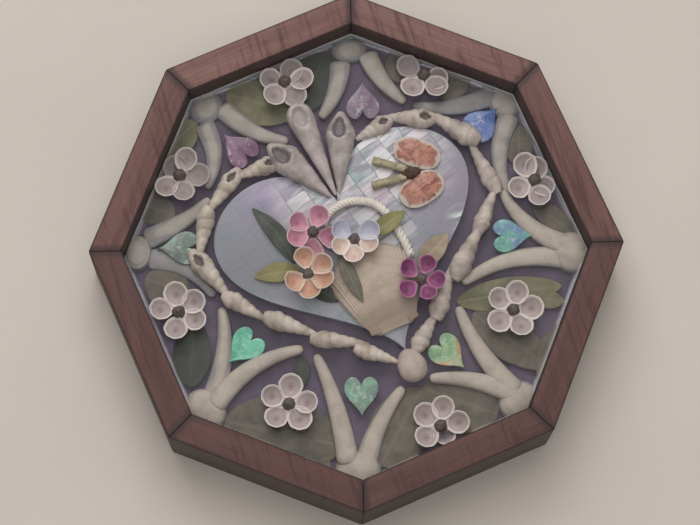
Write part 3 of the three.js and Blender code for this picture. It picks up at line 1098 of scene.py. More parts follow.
@dataclass(frozen=True)
class Grain:
    """Rough natural matter in two tones, such as seed, bark or horn."""

    name: str
    light: str
    dark: str
    scale: float = 0.9
    rough: float = 0.7

    def make(self) -> Finish:
        """The finish.

        Returns:
            The material.
        """
        recipe = Recipe(self.name)
        here = recipe.place()
        lumps = recipe.noise(here, self.scale, 5, 0.6)
        tint = recipe.ramp(lumps, (0.35, self.dark), (0.68, self.light))
        recipe.relief(lumps, 0.3, 0.6)
        rough = recipe.ease(lumps, 0.3, 0.7, self.rough, self.rough + 0.2)
        return recipe.dress(Base_Color=tint, Roughness=rough)


@dataclass(frozen=True)
class PaleFloor:
    """Plain pale table top, very faintly clouded."""

    name: str = "pale_table_top"
    light: str = "d8d1ca"
    dark: str = "d2cbc4"

    def make(self) -> Finish:
        """The finish.

        Returns:
            The material.
        """
        recipe = Recipe(self.name)
        cloud = recipe.noise(recipe.place(), 0.012, 3)
        tint = recipe.ramp(cloud, (0.3, self.dark), (0.7, self.light))
        return recipe.dress(Base_Color=tint, Roughness=recipe.ease(cloud, 0.3, 0.7, 0.7, 0.85))


# The box

@dataclass
class RailFrame:
    """Eight mitred rails with broken edges."""

    inside: float = RAIL_INSIDE
    outside: float = RAIL_OUTSIDE
    height: float = RIM_TOP
    arris: float = 0.4
    joint: float = 0.12
    far_side: float = -1.5 * EIGHTH
    # Light, middle and dark tones of one wood: painted light and shade, lightest on the far rails.
    tones: tuple[tuple[str, str], ...] = (("936f6a", "6a4a48"), ("84605a", "5b3f3d"), ("6f4f4c", "4b3331"))

    def shape(self) -> Piece:
        """Cuts the rail that faces +X: a bar, its mitres, then its broken edges.

        Returns:
            The rail.
        """
        lean = math.tan(EIGHTH / 2)
        spare = self.joint / 2 / math.cos(EIGHTH / 2)
        outer = 2 * (self.outside * lean - spare)
        inner = 2 * (self.inside * lean - spare)
        bpy.ops.mesh.primitive_cube_add(
            size=1, location=((self.inside + self.outside) / 2, 0, self.height / 2),
            scale=(self.outside - self.inside, outer, self.height),
        )
        rail = just_added("rail_pattern")
        middle = (self.inside + self.outside) / 2
        with edit(rail):
            choose(rail, Part.VERTICES, lambda v: v.co.x < middle)
            bpy.ops.transform.resize(
                value=(1, inner / outer, 1), center_override=(self.inside, 0, self.height / 2),
            )
            bpy.ops.mesh.select_mode(type="EDGE")
            select_all()
            bpy.ops.mesh.bevel(offset=self.arris, segments=3, affect="EDGES")
        return rail

    def build(self) -> None:
        """Sets a copy of the rail at each side and dresses it with grain, in a tone painted lighter on the
        far, lit rails and darker on the near, shaded ones.
        """
        pattern = self.shape()
        for k, side in enumerate(SIDE_NAMES):
            rail = copy_of(pattern, f"wood_rail_{side}")
            put(rail, Matrix.Rotation(k * EIGHTH, 4, "Z"))
            # The far rails take the lightest tone and the near rails the darkest: painted light and shade.
            tone = self.tones[round(2 * abs(math.sin((k * EIGHTH + self.far_side) / 2)))]
            wood = Mahogany(f"mahogany_{side}", math.degrees(k * EIGHTH), 37.0 * (k + 1), *tone).make()
            settle(rail, wood, (f"rail_{side}",), crease=50)
        scrap(pattern)


@dataclass
class Floor:
    """Board and lining, kept from the frame with finishes of their own."""

    def build(self) -> None:
        """Dresses the two nodes."""
        finishes = {"base_board": Mahogany("board_mahogany", seed=11).make(), "lining": VioletLining().make()}
        for name, finish in finishes.items():
            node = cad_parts[name]
            node.data.materials.clear()
            node.data.materials.append(finish)
            LOG.info("%s: kept from the frame, finish %s", name, finish.name)


@dataclass
class ResinPour:
    """Clear resin with a wavy edge that climbs the walls."""

    flat: float = WELL_FLAT
    bottom: float = LINING_TOP + 0.02
    top: float = RESIN_TOP
    climb: float = 2.2
    reach: float = 1.1
    cuts: int = 70
    insets: tuple[float, ...] = (0.2, 0.25, 0.35, 0.5, 0.8, 1.4, 2.5, 4, 6)

    def build(self) -> None:
        """Fills the octagon, rings it near the walls, lifts its edge and gives it depth."""
        bpy.ops.mesh.primitive_circle_add(
            vertices=SIDES, radius=self.flat / math.cos(EIGHTH / 2), fill_type="NGON",
            location=(0, 0, self.top), rotation=(0, 0, EIGHTH / 2),
        )
        pour = just_added("resin_pour")
        with edit(pour, "FACE"):
            select_all()
            bpy.ops.mesh.subdivide(number_cuts=self.cuts)
            select_all()
            flat = self.flat
            for width in self.insets:
                bpy.ops.mesh.extrude_region_move(TRANSFORM_OT_translate={"value": (0, 0, 0)})
                ratio = 1 - width / flat
                bpy.ops.transform.resize(value=(ratio, ratio, 1), center_override=(0, 0, self.top))
                flat -= width
            whole = 1.01 * flat * flat * OCTAGON_AREA
            choose(pour, Part.FACES, lambda f: len(f.verts) > 4 and f.calc_area() > whole)
            bpy.ops.mesh.delete(type="FACE")
        stamp(pour, "edge", np.exp(-self.wall_gap(points_of(pour)) / self.reach))
        mould(pour, self.lift_edge)
        with edit(pour, "FACE"):
            select_all()
            bpy.ops.mesh.extrude_region_move(TRANSFORM_OT_translate={"value": (0, 0, self.bottom - self.top)})
            bpy.ops.transform.resize(value=(1, 1, 0), center_override=(0, 0, self.bottom))
            select_all()
            bpy.ops.mesh.normals_make_consistent(inside=False)
        settle(pour, ClearResin().make(), ("clear_resin",), crease=60)
        pour.visible_shadow = False

    def wall_gap(self, points: np.ndarray) -> np.ndarray:
        """How far each point is from the nearest wall.

        Args:
            points: Places, one row each.

        Returns:
            One distance per place.
        """
        turns = np.arange(SIDES) * EIGHTH
        walls = np.column_stack([np.cos(turns), np.sin(turns)])
        return self.flat - (points[:, :2] @ walls.T).max(axis=1)

    def lift_edge(self, points: np.ndarray) -> np.ndarray:
        """Raises the face where it meets the walls.

        Args:
            points: Places, one row each.

        Returns:
            The raised places.
        """
        waves = 0.62 + 0.38 * wobble(points * (1, 1, 0), 17, 5)
        lifted = points.copy()
        lifted[:, 2] += self.climb * waves * np.exp(-self.wall_gap(points) / self.reach)
        return lifted


# The shell work round the rim

@dataclass
class Tusk:
    """One tusk shell: its ends, how far it bows, and how high its top lies over the resin at each end."""

    start: Point
    end: Point
    bow: float
    rise: Point
    wide: float = 9.2
    thin: float = 4.0
    taper: float = 1.5
    flatness: float = 0.7

    def bent(self, bar: np.ndarray, flower: Point) -> np.ndarray:
        """Bows a straight unit bar along this tusk, away from the flower that it frames.

        Args:
            bar: Points of the bar, drawn from 0 to 1 along +X with a radius up to 1.
            flower: Middle of that flower.

        Returns:
            The points in place.
        """
        start, end = np.array(self.start), np.array(self.end)
        ahead = (end - start) / np.linalg.norm(end - start)
        across = np.array([ahead[1], -ahead[0]])
        middle = (start + end) / 2
        side = math.copysign(1, across @ (middle - np.array(flower)))
        turn = middle + across * 2.3 * self.bow * side
        along = bar[:, :1]
        spine = (1 - along) ** 2 * start + 2 * along * (1 - along) * turn + along ** 2 * end
        slope = 2 * (1 - along) * (turn - start) + 2 * along * (end - turn)
        slope /= np.linalg.norm(slope, axis=1, keepdims=True)
        level = np.column_stack([-slope[:, 1], slope[:, 0]])
        girth = self.wide + (self.thin - self.wide) * np.clip(bar[:, 0], 0, 1) ** self.taper
        top = RESIN_TOP + self.rise[0] + (self.rise[1] - self.rise[0]) * bar[:, 0]
        depth = np.minimum(girth, top - LINING_TOP - 0.1)
        placed = spine + level * (bar[:, 1:2] * girth[:, None] / 2)
        height = np.sign(bar[:, 2]) * np.abs(bar[:, 2]) ** self.flatness
        return np.column_stack([placed, top - depth / 2 + height * depth / 2])


class CapKind(Enum):
    """How a cap shell is shaped."""

    FAN = "fan"
    DISC = "disc"
    RINGED = "ringed"


@dataclass
class Spray:
    """A corner's cap shell over the roots of two tusks."""

    cap: tuple[float, float, float, float]
    kind: CapKind
    top: float
    tusks: tuple[Tusk, Tusk]

    def shape_cap(self, name: str) -> Piece:
        """Domes the cap, ribs or rings it, and trims it flush with the two walls.

        Args:
            name: The cap's name.

        Returns:
            The cap.
        """
        x, y, width, length = self.cap
        bpy.ops.mesh.primitive_uv_sphere_add(segments=72, ring_count=36, radius=1)
        cap = just_added(name)
        with edit(cap):
            select_all()
            bpy.ops.mesh.bisect(
                plane_co=(0, 0, 0), plane_no=(0, 0, 1), clear_inner=True, use_fill=True,
            )
        ball = points_of(cap)
        out = np.hypot(ball[:, 0], ball[:, 1])
        mark_shell(cap, out)
        depth = self.top - LINING_TOP - LINING_GAP
        mould(cap, lambda points: self.domed(points, depth))
        corner = math.atan2(y, x)
        put(cap, Matrix.Translation((x, y, LINING_TOP + LINING_GAP)) @ Matrix.Rotation(corner, 4, "Z"))
        with edit(cap):
            for k in range(SIDES):
                select_all()
                way = (math.cos(k * EIGHTH), math.sin(k * EIGHTH), 0)
                bpy.ops.mesh.bisect(
                    plane_co=[WELL_FLAT * part for part in way], plane_no=way,
                    clear_outer=True, use_fill=True,
                )
        return cap

    def domed(self, ball: np.ndarray, depth: float) -> np.ndarray:
        """Shapes half a ball into this kind of cap.

        Args:
            ball: Points of the half ball, of unit radius.
            depth: Height of the cap.

        Returns:
            The moved points.
        """
        _, _, width, length = self.cap
        around = np.arctan2(ball[:, 1], ball[:, 0])
        out = np.hypot(ball[:, 0], ball[:, 1])
        ribs = {CapKind.FAN: 20, CapKind.DISC: 30, CapKind.RINGED: 18}[self.kind]
        height = np.maximum(ball[:, 2], 0) ** 0.6
        ripple = 0.008 * np.cos(ribs * around) * smooth(out, 0.25, 0.9)
        if self.kind is CapKind.RINGED:
            ripple = ripple * 0.3 + 0.03 * np.cos(out * 30) * smooth(out, 0.2, 0.9)
        lumps = 1 + 0.02 * wobble(ball, 0.9, int(width * 10 + length))
        flare = 1 + 0.05 * np.cos(2 * around) + 0.25 * ripple
        return np.column_stack([
            ball[:, 0] * flare * lumps * length / 2, ball[:, 1] * flare * lumps * width / 2,
            (height + ripple * (height > 0)) * depth,
        ])

    def build(self, number: int, bar: Piece, flowers: tuple[Point, Point], skin: Finish) -> None:
        """Sets the cap and both tusks in their corner.

        Args:
            number: The corner's number.
            bar: Straight unit tusk that both are copied from.
            flowers: Middles of the flowers on either side.
            skin: Their finish.
        """
        node = (f"corner_spray_{number}",)
        for tusk, hand in zip(self.tusks, ("left", "right")):
            piece = copy_of(bar, f"tusk_{number}_{hand}")
            near = min(flowers, key=lambda spot: math.dist(spot, tusk.end))
            mould(piece, lambda points: tusk.bent(points, near))
            settle(piece, skin, node, crease=60)
        settle(self.shape_cap(f"cap_shell_{number}"), skin, node, crease=55)


def plain_tusk(sides: int = 24, rings: int = 24) -> Piece:
    """A straight tusk of unit length and radius, fluted, with rounded ends.

    Args:
        sides: Faces round it.
        rings: Rings along it.

    Returns:
        The tusk.
    """
    steps = np.linspace(0, 1, rings)
    ends = np.sqrt(np.clip(1 - (2 * np.abs(steps - 0.5)) ** 40, 0.45, 1))
    bar = drawn_bar("tusk_pattern", [(float(s), float(e)) for s, e in zip(steps, ends)], sides)
    straight = points_of(bar)
    stamp(bar, "along", straight[:, 0])
    stamp(bar, "side", np.arctan2(straight[:, 2], straight[:, 1]) / (2 * math.pi))
    # The open ends take the mouth mark, painted shade in their hollows.
    stamp(bar, "mouth", smooth(np.abs(straight[:, 0] - 0.5), 0.4995, 0.5) * 0.3)
    soften(bar)
    return bar


@dataclass
class CupFlower:
    """Cup shells round a dark seed, as its petals."""

    name: str
    at: Point
    bearings: tuple[float, ...]
    level: float
    radius: float
    reach: float
    depth: float
    tilt: float
    point: float
    skin: Finish
    slot: str
    node: str
    tones: tuple[float, ...] = (0.2, 0.4, 0.1, 0.3, 0.5)
    seed_radius: float = 2.7
    seed_height: float = 3.6
    under: tuple[int, ...] = ()
    lean_play: float = 4
    roll_play: float = 7
    size_play: float = 0.05
    flat_lean: float = 2
    flat_drop: float = 2.2
    tuck_drop: float = 2.4

    def petal_place(self, k: int) -> Matrix:
        """Where a petal lies: leaned up at its outer end, or flat under the next flower's petals.

        Args:
            k: Number of the petal, from 0.

        Returns:
            The matrix that sets a cup of unit size in its place, inside the walls.
        """
        turn = math.radians(self.bearings[k])
        x = self.at[0] + self.reach * math.cos(turn)
        y = self.at[1] + self.reach * math.sin(turn)
        fitted = inside_walls((x, y), self.radius)
        tucked = 0.9 * math.dist(fitted, (x, y)) / self.radius
        x, y = fitted
        flat = k in self.under
        lean = self.flat_lean if flat else self.tilt + self.lean_play * math.sin(3.7 * k + self.at[0])
        roll = self.roll_play * math.sin(2.3 * k + self.at[1])
        size = self.radius * (1 + self.size_play * math.sin(1.9 * k + self.at[0] + self.at[1]))
        lift = self.level + self.radius * math.sin(math.radians(lean)) * 0.8 + 0.25 * (k % 2)
        lift -= self.tuck_drop * tucked
        lift -= self.flat_drop if flat else 0
        return (
            Matrix.Translation((x, y, lift)) @ Matrix.Rotation(turn, 4, "Z")
            @ Matrix.Rotation(math.radians(-lean), 4, "Y") @ Matrix.Rotation(math.radians(roll), 4, "X")
            @ Matrix.Diagonal((size, size * 0.96, self.depth, 1))
        )

    def build(self, cup: Piece, seed: Piece, seed_skin: Finish) -> None:
        """Sets copies of the cup round a copy of the seed.

        Args:
            cup: Petal that the others are copied from, of unit size.
            seed: Seed that the others are copied from, of unit size.
            seed_skin: The seed's finish.
        """
        petals = []
        for k in range(len(self.bearings)):
            petal = copy_of(cup, f"{self.name}_{k}")
            mould(petal, self.drawn_in)
            put(petal, self.petal_place(k))
            stamp(petal, "tone", self.tones[k])
            petals.append(petal)
        settle(join(petals, f"{self.name}_petals"), self.skin, (self.node,), crease=60)
        eye = copy_of(seed, f"{self.name}_seed")
        mould(eye, lambda ball: ball * (1 + 0.12 * wobble(ball + self.at[0], 1.3, 3))[:, None])
        size = (self.seed_radius, self.seed_radius * 0.92, self.seed_height)
        place = Matrix.Translation((*self.at, self.level + self.seed_height * 0.55))
        put(eye, place @ Matrix.Diagonal((*size, 1)))
        settle(eye, seed_skin, (self.node,), crease=60)

    def drawn_in(self, points: np.ndarray) -> np.ndarray:
        """Narrows a round cup towards the flower's middle.

        Args:
            points: Points of the cup.

        Returns:
            The moved points.
        """
        narrowed = points.copy()
        narrowed[:, 1] *= 1 - self.point * smooth(-points[:, 0], -0.3, 1.1)
        narrowed[:, 0] -= self.point * 0.2 * smooth(-points[:, 0], 0.2, 1)
        return narrowed


def plain_cup(segments: int = 28, rings: int = 14, wall: float = 0.1) -> Piece:
    """A round cup shell of unit radius and depth, hollow side up, with a turned-out lip.

    Args:
        segments: Faces round it.
        rings: Rings of the ball it is cut from.
        wall: Thickness of its wall.

    Returns:
        The cup.
    """
    bpy.ops.mesh.primitive_uv_sphere_add(segments=segments, ring_count=rings, radius=1)
    cup = just_added("cup_pattern")
    with edit(cup):
        select_all()
        bpy.ops.mesh.bisect(plane_co=(0, 0, 0), plane_no=(0, 0, 1), clear_outer=True)
    stamp(cup, "ring", np.hypot(*points_of(cup)[:, :2].T))

    def spread(bowl: np.ndarray) -> np.ndarray:
        """Opens half a ball into a cup with a wavy lip.

        Args:
            bowl: Points of the half ball.

        Returns:
            The moved points.
        """
        out = np.hypot(bowl[:, 0], bowl[:, 1])
        around = np.arctan2(bowl[:, 1], bowl[:, 0])
        lip = 1 + 0.03 * np.cos(9 * around) * smooth(out, 0.7, 1)
        height = out ** 2.4 + 0.05 * np.cos(out * 22) * (1 - out)
        return np.column_stack([bowl[:, 0] * lip, bowl[:, 1] * lip, height])

    mould(cup, spread)
    modify(cup, "SOLIDIFY", thickness=wall, offset=1)
    soften(cup)
    return cup


def plain_seed() -> Piece:
    """A lumpy round seed of unit radius.

    Returns:
        The seed.
    """
    bpy.ops.mesh.primitive_ico_sphere_add(subdivisions=4, radius=1)
    seed = just_added("seed_pattern")
    mould(seed, lambda ball: ball * (1 + 0.1 * wobble(ball, 0.7, 8))[:, None])
    return seed


# The shell work of the heart

@dataclass
class Spire:
    """A spiral shell of unit length, apex at 0 and mouth end at 1, with a radius up to a half."""

    name: str
    whorls: float
    fullest: float
    apex: float
    lip: float
    fall: float
    groove: float
    mouth: tuple[float, float, float] | None
    ribs: int = 22

    def shape(self, rings: int = 58, sides: int = 32) -> Piece:
        """Draws the cone out and turns its whorls into it.

        Args:
            rings: Rings along it.
            sides: Faces round it.

        Returns:
            The shell, of unit length.
        """
        steps = np.linspace(0, 1, rings)
        bar = drawn_bar(self.name, [(float(s), float(r)) for s, r in zip(steps, self.girth(steps))], sides)
        straight = points_of(bar)
        mark_shell(bar, straight[:, 0], self.opening(straight))
        mould(bar, self.turned)
        return bar

    def girth(self, along: np.ndarray) -> np.ndarray:
        """Radius along the shell.

        Args:
            along: Places along the shell, from 0 to 1.

        Returns:
            One radius per place.
        """
        rising = np.clip(along / self.fullest, 0, 1) ** 0.9
        falling = np.clip((along - self.fullest) / (1 - self.fullest), 0, 1)
        return 0.5 * (self.apex + (1 - self.apex) * rising) * (1 - (1 - self.lip) * falling ** self.fall)

    def opening(self, bar: np.ndarray) -> np.ndarray:
        """1 in the mouth, which opens upwards, and 0 elsewhere.

        Args:
            bar: Points of the straight bar.

        Returns:
            One share per point.
        """
        if self.mouth is None:
            return np.zeros(len(bar))
        middle, half, wide = self.mouth
        lateral = bar[:, 1] / np.maximum(self.girth(bar[:, 0]), 0.05)
        far = np.hypot((bar[:, 0] - middle) / half, (lateral - 0.1) / wide)
        return (1 - smooth(far, 0.6, 1.0)) * (bar[:, 2] > 0)

    def turned(self, bar: np.ndarray) -> np.ndarray:
        """Cuts the seam between whorls, fine ribs and the mouth.

        Args:
            bar: Points of the straight bar.

        Returns:
            The moved points.
        """
        along, around = bar[:, 0], np.arctan2(bar[:, 2], bar[:, 1])
        phase = self.whorls * (1 - (1 - along) ** 1.35) - around / (2 * math.pi)
        swell = np.abs(np.sin(math.pi * phase)) ** 0.5
        ribs = 0.012 * np.cos(self.ribs * around + 20 * along)
        hollow = 1 - 0.62 * self.opening(bar)
        scale = (1 - self.groove + self.groove * swell + ribs)
        sunken = np.where(bar[:, 2] > 0, hollow, 1)
        return np.column_stack([along, bar[:, 1] * scale, bar[:, 2] * scale * sunken])


@dataclass
class LaidSpire:
    """A spiral shell laid between two points."""

    name: str
    start: Point
    end: Point
    width: float
    node: str
    slot: str
    rise: float = 0.7
    roll: float = 0

    def build(self, pattern: Piece, skin: Finish) -> None:
        """Fits a copy of the pattern between the points, its height set from the resin's top.

        Args:
            pattern: Shell of unit length.
            skin: Its finish.
        """
        piece = copy_of(pattern, self.name)
        start, end = Vector((*self.start, 0)), Vector((*self.end, 0))
        way = end - start
        lap = 1.2
        long = way.length + 2 * lap
        heading = math.atan2(way.y, way.x)
        foot = start - way.normalized() * lap
        foot.z = RESIN_TOP + self.width * (self.rise - 0.5)
        put(piece, (
            Matrix.Translation(foot) @ Matrix.Rotation(heading, 4, "Z")
            @ Matrix.Rotation(math.radians(self.roll), 4, "X")
            @ Matrix.Diagonal((long, self.width, self.width * 0.9, 1))
        ))
        seed = len(self.name) + int(long * 7)
        mould(piece, lambda points: points + 0.12 * wobble(points, 7, seed)[:, None])
        settle(piece, skin, (self.node,), crease=60)


@dataclass
class ShellBorder:
    """Row of spiral shells round the heart, from the notch round each side to the tip."""

    rows: dict[str, tuple[tuple[Point, Point, float, bool], ...]]
    plump: float = 1.16

    def build(self, closed: Piece, open_mouth: Piece, skins: dict[str, Finish]) -> None:
        """Lays each row, with open-mouthed shells where they are called for."""
        for side, row in self.rows.items():
            for k, (start, end, width, gapes) in enumerate(row, 1):
                shell = LaidSpire(
                    f"spiral_shell_{side}_{k}", start, end, width * self.plump,
                    f"heart_border_{side}", "cream_shell",
                    rise=0.72, roll=0 if gapes else 47.0 * k,
                )
                shell.build(open_mouth if gapes else closed, skins[side])


@dataclass
class TipShell:
    """Round glossy shell that closes the tip of the heart."""

    at: Point = (1.5, -52.5)
    size: tuple[float, float, float] = (12, 14.5, 10)
    narrowing: float = 0.25

    def build(self, skin: Finish) -> None:
        """Rounds a ball into a low shell with a blunt crown.

        Args:
            skin: Its finish.
        """
        bpy.ops.mesh.primitive_uv_sphere_add(segments=48, ring_count=28, radius=0.5)
        shell = just_added("round_tip_shell")
        ball = points_of(shell)
        mark_shell(shell, ball[:, 1] + 0.5)
        mould(shell, self.egg)
        mould(shell, lambda p: p * (1 + 0.02 * wobble(p, 0.5, 4))[:, None])
        put(shell, Matrix.Translation((*self.at, RESIN_TOP + 2)) @ Matrix.Diagonal((*self.size, 1)))
        settle(shell, skin, ("tip_shell",), crease=60)

    def egg(self, ball: np.ndarray) -> np.ndarray:
        """Narrows the ball towards its upper end."""
        kept = np.ones(len(ball))
        return ball * np.column_stack([1 - self.narrowing * ball[:, 1], kept, kept])


@dataclass
class PearlHeart:
    """Mother-of-pearl plate under the posy."""

    at: Point = (2, -1)
    width: float = 112
    length: float = 91
    bottom: float = RESIN_TOP - 0.6

    def build(self) -> None:
        """Saws the heart out and lays it on the resin."""
        plate = heart_plate("pearl_plate", self.width, self.length, PLATE_TOP - self.bottom, 0.4, 160)
        put(plate, Matrix.Translation((*self.at, self.bottom)))
        settle(plate, MotherOfPearl().make(), ("pearl_heart",))


@dataclass
class AbaloneHearts:
    """Eight small abalone hearts, tips outwards, each of its own colours."""

    places: tuple[Point, ...]
    tints: tuple[tuple[str, str, str], ...]
    width: float = 14.2
    length: float = 16.8
    thick: float = 1.8

    def build(self) -> None:
        """Saws the pattern once and lays a copy in each corner."""
        pattern = heart_plate("heart_pattern", self.width, self.length, self.thick, 0.45, 56)
        for k, (at, tint) in enumerate(zip(self.places, self.tints)):
            piece = copy_of(pattern, f"abalone_plate_{k + 1}")
            turn = (k + 0.5) * EIGHTH + math.pi / 2
            put(piece, Matrix.Translation((*at, RESIN_TOP - 0.9)) @ Matrix.Rotation(turn, 4, "Z"))
            skin = Abalone(f"abalone_{k + 1}", *tint, seed=61.0 * (k + 1)).make()
            settle(piece, skin, (f"abalone_heart_{k + 1}",))
        scrap(pattern)


# The posy in its basket

@dataclass
class Scallop:
    """Ribbed valve that makes the basket, hinge down, with two ears."""

    hinge: Point = (2.0, -35.8)
    foot: float = 6.6
    belly: float = 17.6
    across: float = 36.5
    shoulder: float = 0.62
    height: float = 5.6
    ribs: int = 31
    rib_height: float = 0.45
    wall: float = 0.7

    def build(self, skin: Finish) -> None:
        """Fans a sheet round the hinge, ribs it and gives it a wall and ears.

        Args:
            skin: Its finish.
        """
        valve = flat_sheet("scallop_valve", 48, 330)
        flat = points_of(valve)
        turn = flat[:, 1] * 0.5
        stamp(valve, "rib", 0.5 + (self.rib(turn) - 0.5) * smooth(flat[:, 0], 0.15, 0.55))
        mould(valve, self.fanned)
        modify(valve, "SOLIDIFY", thickness=self.wall, offset=-1)
        ears = [self.ear(side) for side in (-1, 1)]
        settle(join([valve, *ears], "scallop_valve"), skin, ("scallop_basket",), crease=60)

    def rib(self, turn: np.ndarray) -> np.ndarray:
        """1 on the crest of a rib, 0 between ribs."""
        return 0.5 + 0.5 * np.cos(2 * math.pi * self.ribs * turn)

    def fanned(self, sheet: np.ndarray) -> np.ndarray:
        """Spreads the sheet up from the hinge and over the dome.

        Args:
            sheet: Points of the flat sheet.

        Returns:
            The moved points.
        """
        out, turn = sheet[:, 0], sheet[:, 1] * 0.5
        side = 2 * turn
        crest = self.rib(turn) * smooth(out, 0.15, 0.6)
        edge = self.shoulder + (1 - self.shoulder) * np.sqrt(np.clip(1 - side ** 2, 0, 1))
        x = (self.foot + (self.belly - self.foot) * out ** 0.55) * side
        y = self.across * out * edge * (1 + 0.012 * crest * smooth(out, 0.9, 1))
        beak = 0.12 + 0.88 * smooth(out, 0, 0.4)
        dome = np.sqrt(np.clip(1 - out ** 3, 0, 1)) * beak * np.clip(1 - 0.97 * side ** 2, 0, 1) ** 0.5
        lift = self.wall + (self.height - self.wall) * dome + self.rib_height * crest * np.sqrt(dome)
        return np.column_stack([self.hinge[0] + x, self.hinge[1] + y, PLATE_TOP + lift])

    def ear(self, side: int) -> Piece:
        """One of the two flat ears beside the hinge.

        Args:
            side: Which ear, by the sign of its x.

        Returns:
            The ear.
        """
        ear = flat_sheet(f"scallop_ear_{side}", 10, 8)
        stamp(ear, "rib", 0)

        def spread(sheet: np.ndarray) -> np.ndarray:
            """Takes a flat sheet to the ear's outline.

            Args:
                sheet: Points of the flat sheet.

            Returns:
                The moved points.
            """
            out, across = sheet[:, 0], sheet[:, 1]
            up = (across + 1) / 2
            x = self.hinge[0] + side * (6.2 + out * (4.4 + 0.4 * up))
            y = self.hinge[1] + 0.1 + 0.8 * out + up * 4.4
            return np.column_stack([x, y, PLATE_TOP + 2.0 - 0.6 * out + 0.1 * np.cos(14 * across)])

        mould(ear, spread)
        stamp(ear, "along", 0)
        modify(ear, "SOLIDIFY", thickness=0.9, offset=0)
        with edit(ear):
            select_all()
            bpy.ops.mesh.normals_make_consistent(inside=False)
        soften(ear)
        return ear


@dataclass
class RopeHandle:
    """Basket handle of three twisted strands."""

    route: tuple[Point, ...]
    radius: float = 1.8
    strands: int = 3
    turns: float = 10.5
    steps: int = 260

    def spine(self) -> np.ndarray:
        """Points along a smooth curve through the route.

        Returns:
            The points, one row each.
        """
        ends = np.array([self.route[0], *self.route, self.route[-1]], float)
        points = []
        for a, b, c, d in zip(ends, ends[1:], ends[2:], ends[3:]):
            for t in np.linspace(0, 1, self.steps // (len(self.route) - 1), endpoint=False):
                points.append(0.5 * (
                    2 * b + (c - a) * t + (2 * a - 5 * b + 4 * c - d) * t * t
                    + (3 * b - a - 3 * c + d) * t ** 3
                ))
        return np.array(points)

    def build(self, skin: Finish) -> None:
        """Lays the strands round the curve and joins them.

        Args:
            skin: Its finish.
        """
        spine = self.spine()
        ahead = np.gradient(spine, axis=0)
        ahead /= np.linalg.norm(ahead, axis=1, keepdims=True)
        level = np.column_stack([-ahead[:, 1], ahead[:, 0]])
        part = np.linspace(0, 1, len(spine))
        off = self.radius * 0.56
        strands = []
        for k in range(self.strands):
            twist = 2 * math.pi * (self.turns * part + k / self.strands)
            line = np.column_stack([
                spine + level * (off * np.cos(twist))[:, None],
                PLATE_TOP + self.radius + 0.6 + off * np.sin(twist),
            ])
            strands.append(self.strand(f"rope_strand_{k}", line))
        settle(join(strands, "twisted_rope"), skin, ("rope_handle",), crease=70)

    def strand(self, name: str, line: np.ndarray) -> Piece:
        """One strand: a round tube along a line, made a mesh.

        Args:
            name: The strand's name.
            line: Points along its middle.

        Returns:
            The strand.
        """
        curve = bpy.data.curves.new(name, "CURVE")
        curve.dimensions = "3D"
        curve.bevel_depth = self.radius * 0.47
        curve.bevel_resolution = 3
        curve.use_fill_caps = True
        spline = curve.splines.new("POLY")
        spline.points.add(len(line) - 1)
        rows = np.column_stack([line, np.ones(len(line))]).astype(np.float32)
        spline.points.foreach_set("co", rows.ravel())
        strand = bpy.data.objects.new(name, curve)
        bpy.context.scene.collection.objects.link(strand)
        take(strand)
        bpy.ops.object.convert(target="MESH")
        return bpy.context.active_object


@dataclass
class Leaf:
    """A leaf laid from its base to its tip."""

    name: str
    start: Point
    end: Point
    width: float
    level: float
    skin: Finish
    node: str | None = None
    arch: float = 1.2
    fold: float = 0.7
    blunt: float = 0.8
    bend: float = 0
    thick: float = 0.45

    def build(self) -> None:
        """Moulds a sheet into the blade and gives it thickness."""
        leaf = flat_sheet(self.name, 40, 14)
        mould(leaf, self.blade)
        modify(leaf, "SOLIDIFY", thickness=self.thick, offset=-1)
        soften(leaf)
        settle(leaf, self.skin, (self.node,) if self.node else (), crease=50)

    def blade(self, sheet: np.ndarray) -> np.ndarray:
        """Takes the flat sheet to the leaf's outline, arch and fold.

        Args:
            sheet: Points of the flat sheet.

        Returns:
            The moved points.
        """
        along, side = sheet[:, 0], sheet[:, 1]
        start, end = np.array(self.start), np.array(self.end)
        way = end - start
        across = np.array([-way[1], way[0]]) / np.linalg.norm(way)
        half = self.width / 2 * np.maximum(np.sin(math.pi * along ** 0.9) ** self.blunt, 0.03)
        sway = self.bend * np.sin(math.pi * along)
        flat = start + way * along[:, None] + across * (half * side + sway)[:, None]
        swell = np.sin(math.pi * along)
        lift = self.arch * swell + self.fold * (np.abs(side) - 0.4) * swell
        height = self.level + lift + 0.12 * wobble(np.column_stack([flat, along]), 9, len(self.name))
        return np.column_stack([flat, height])


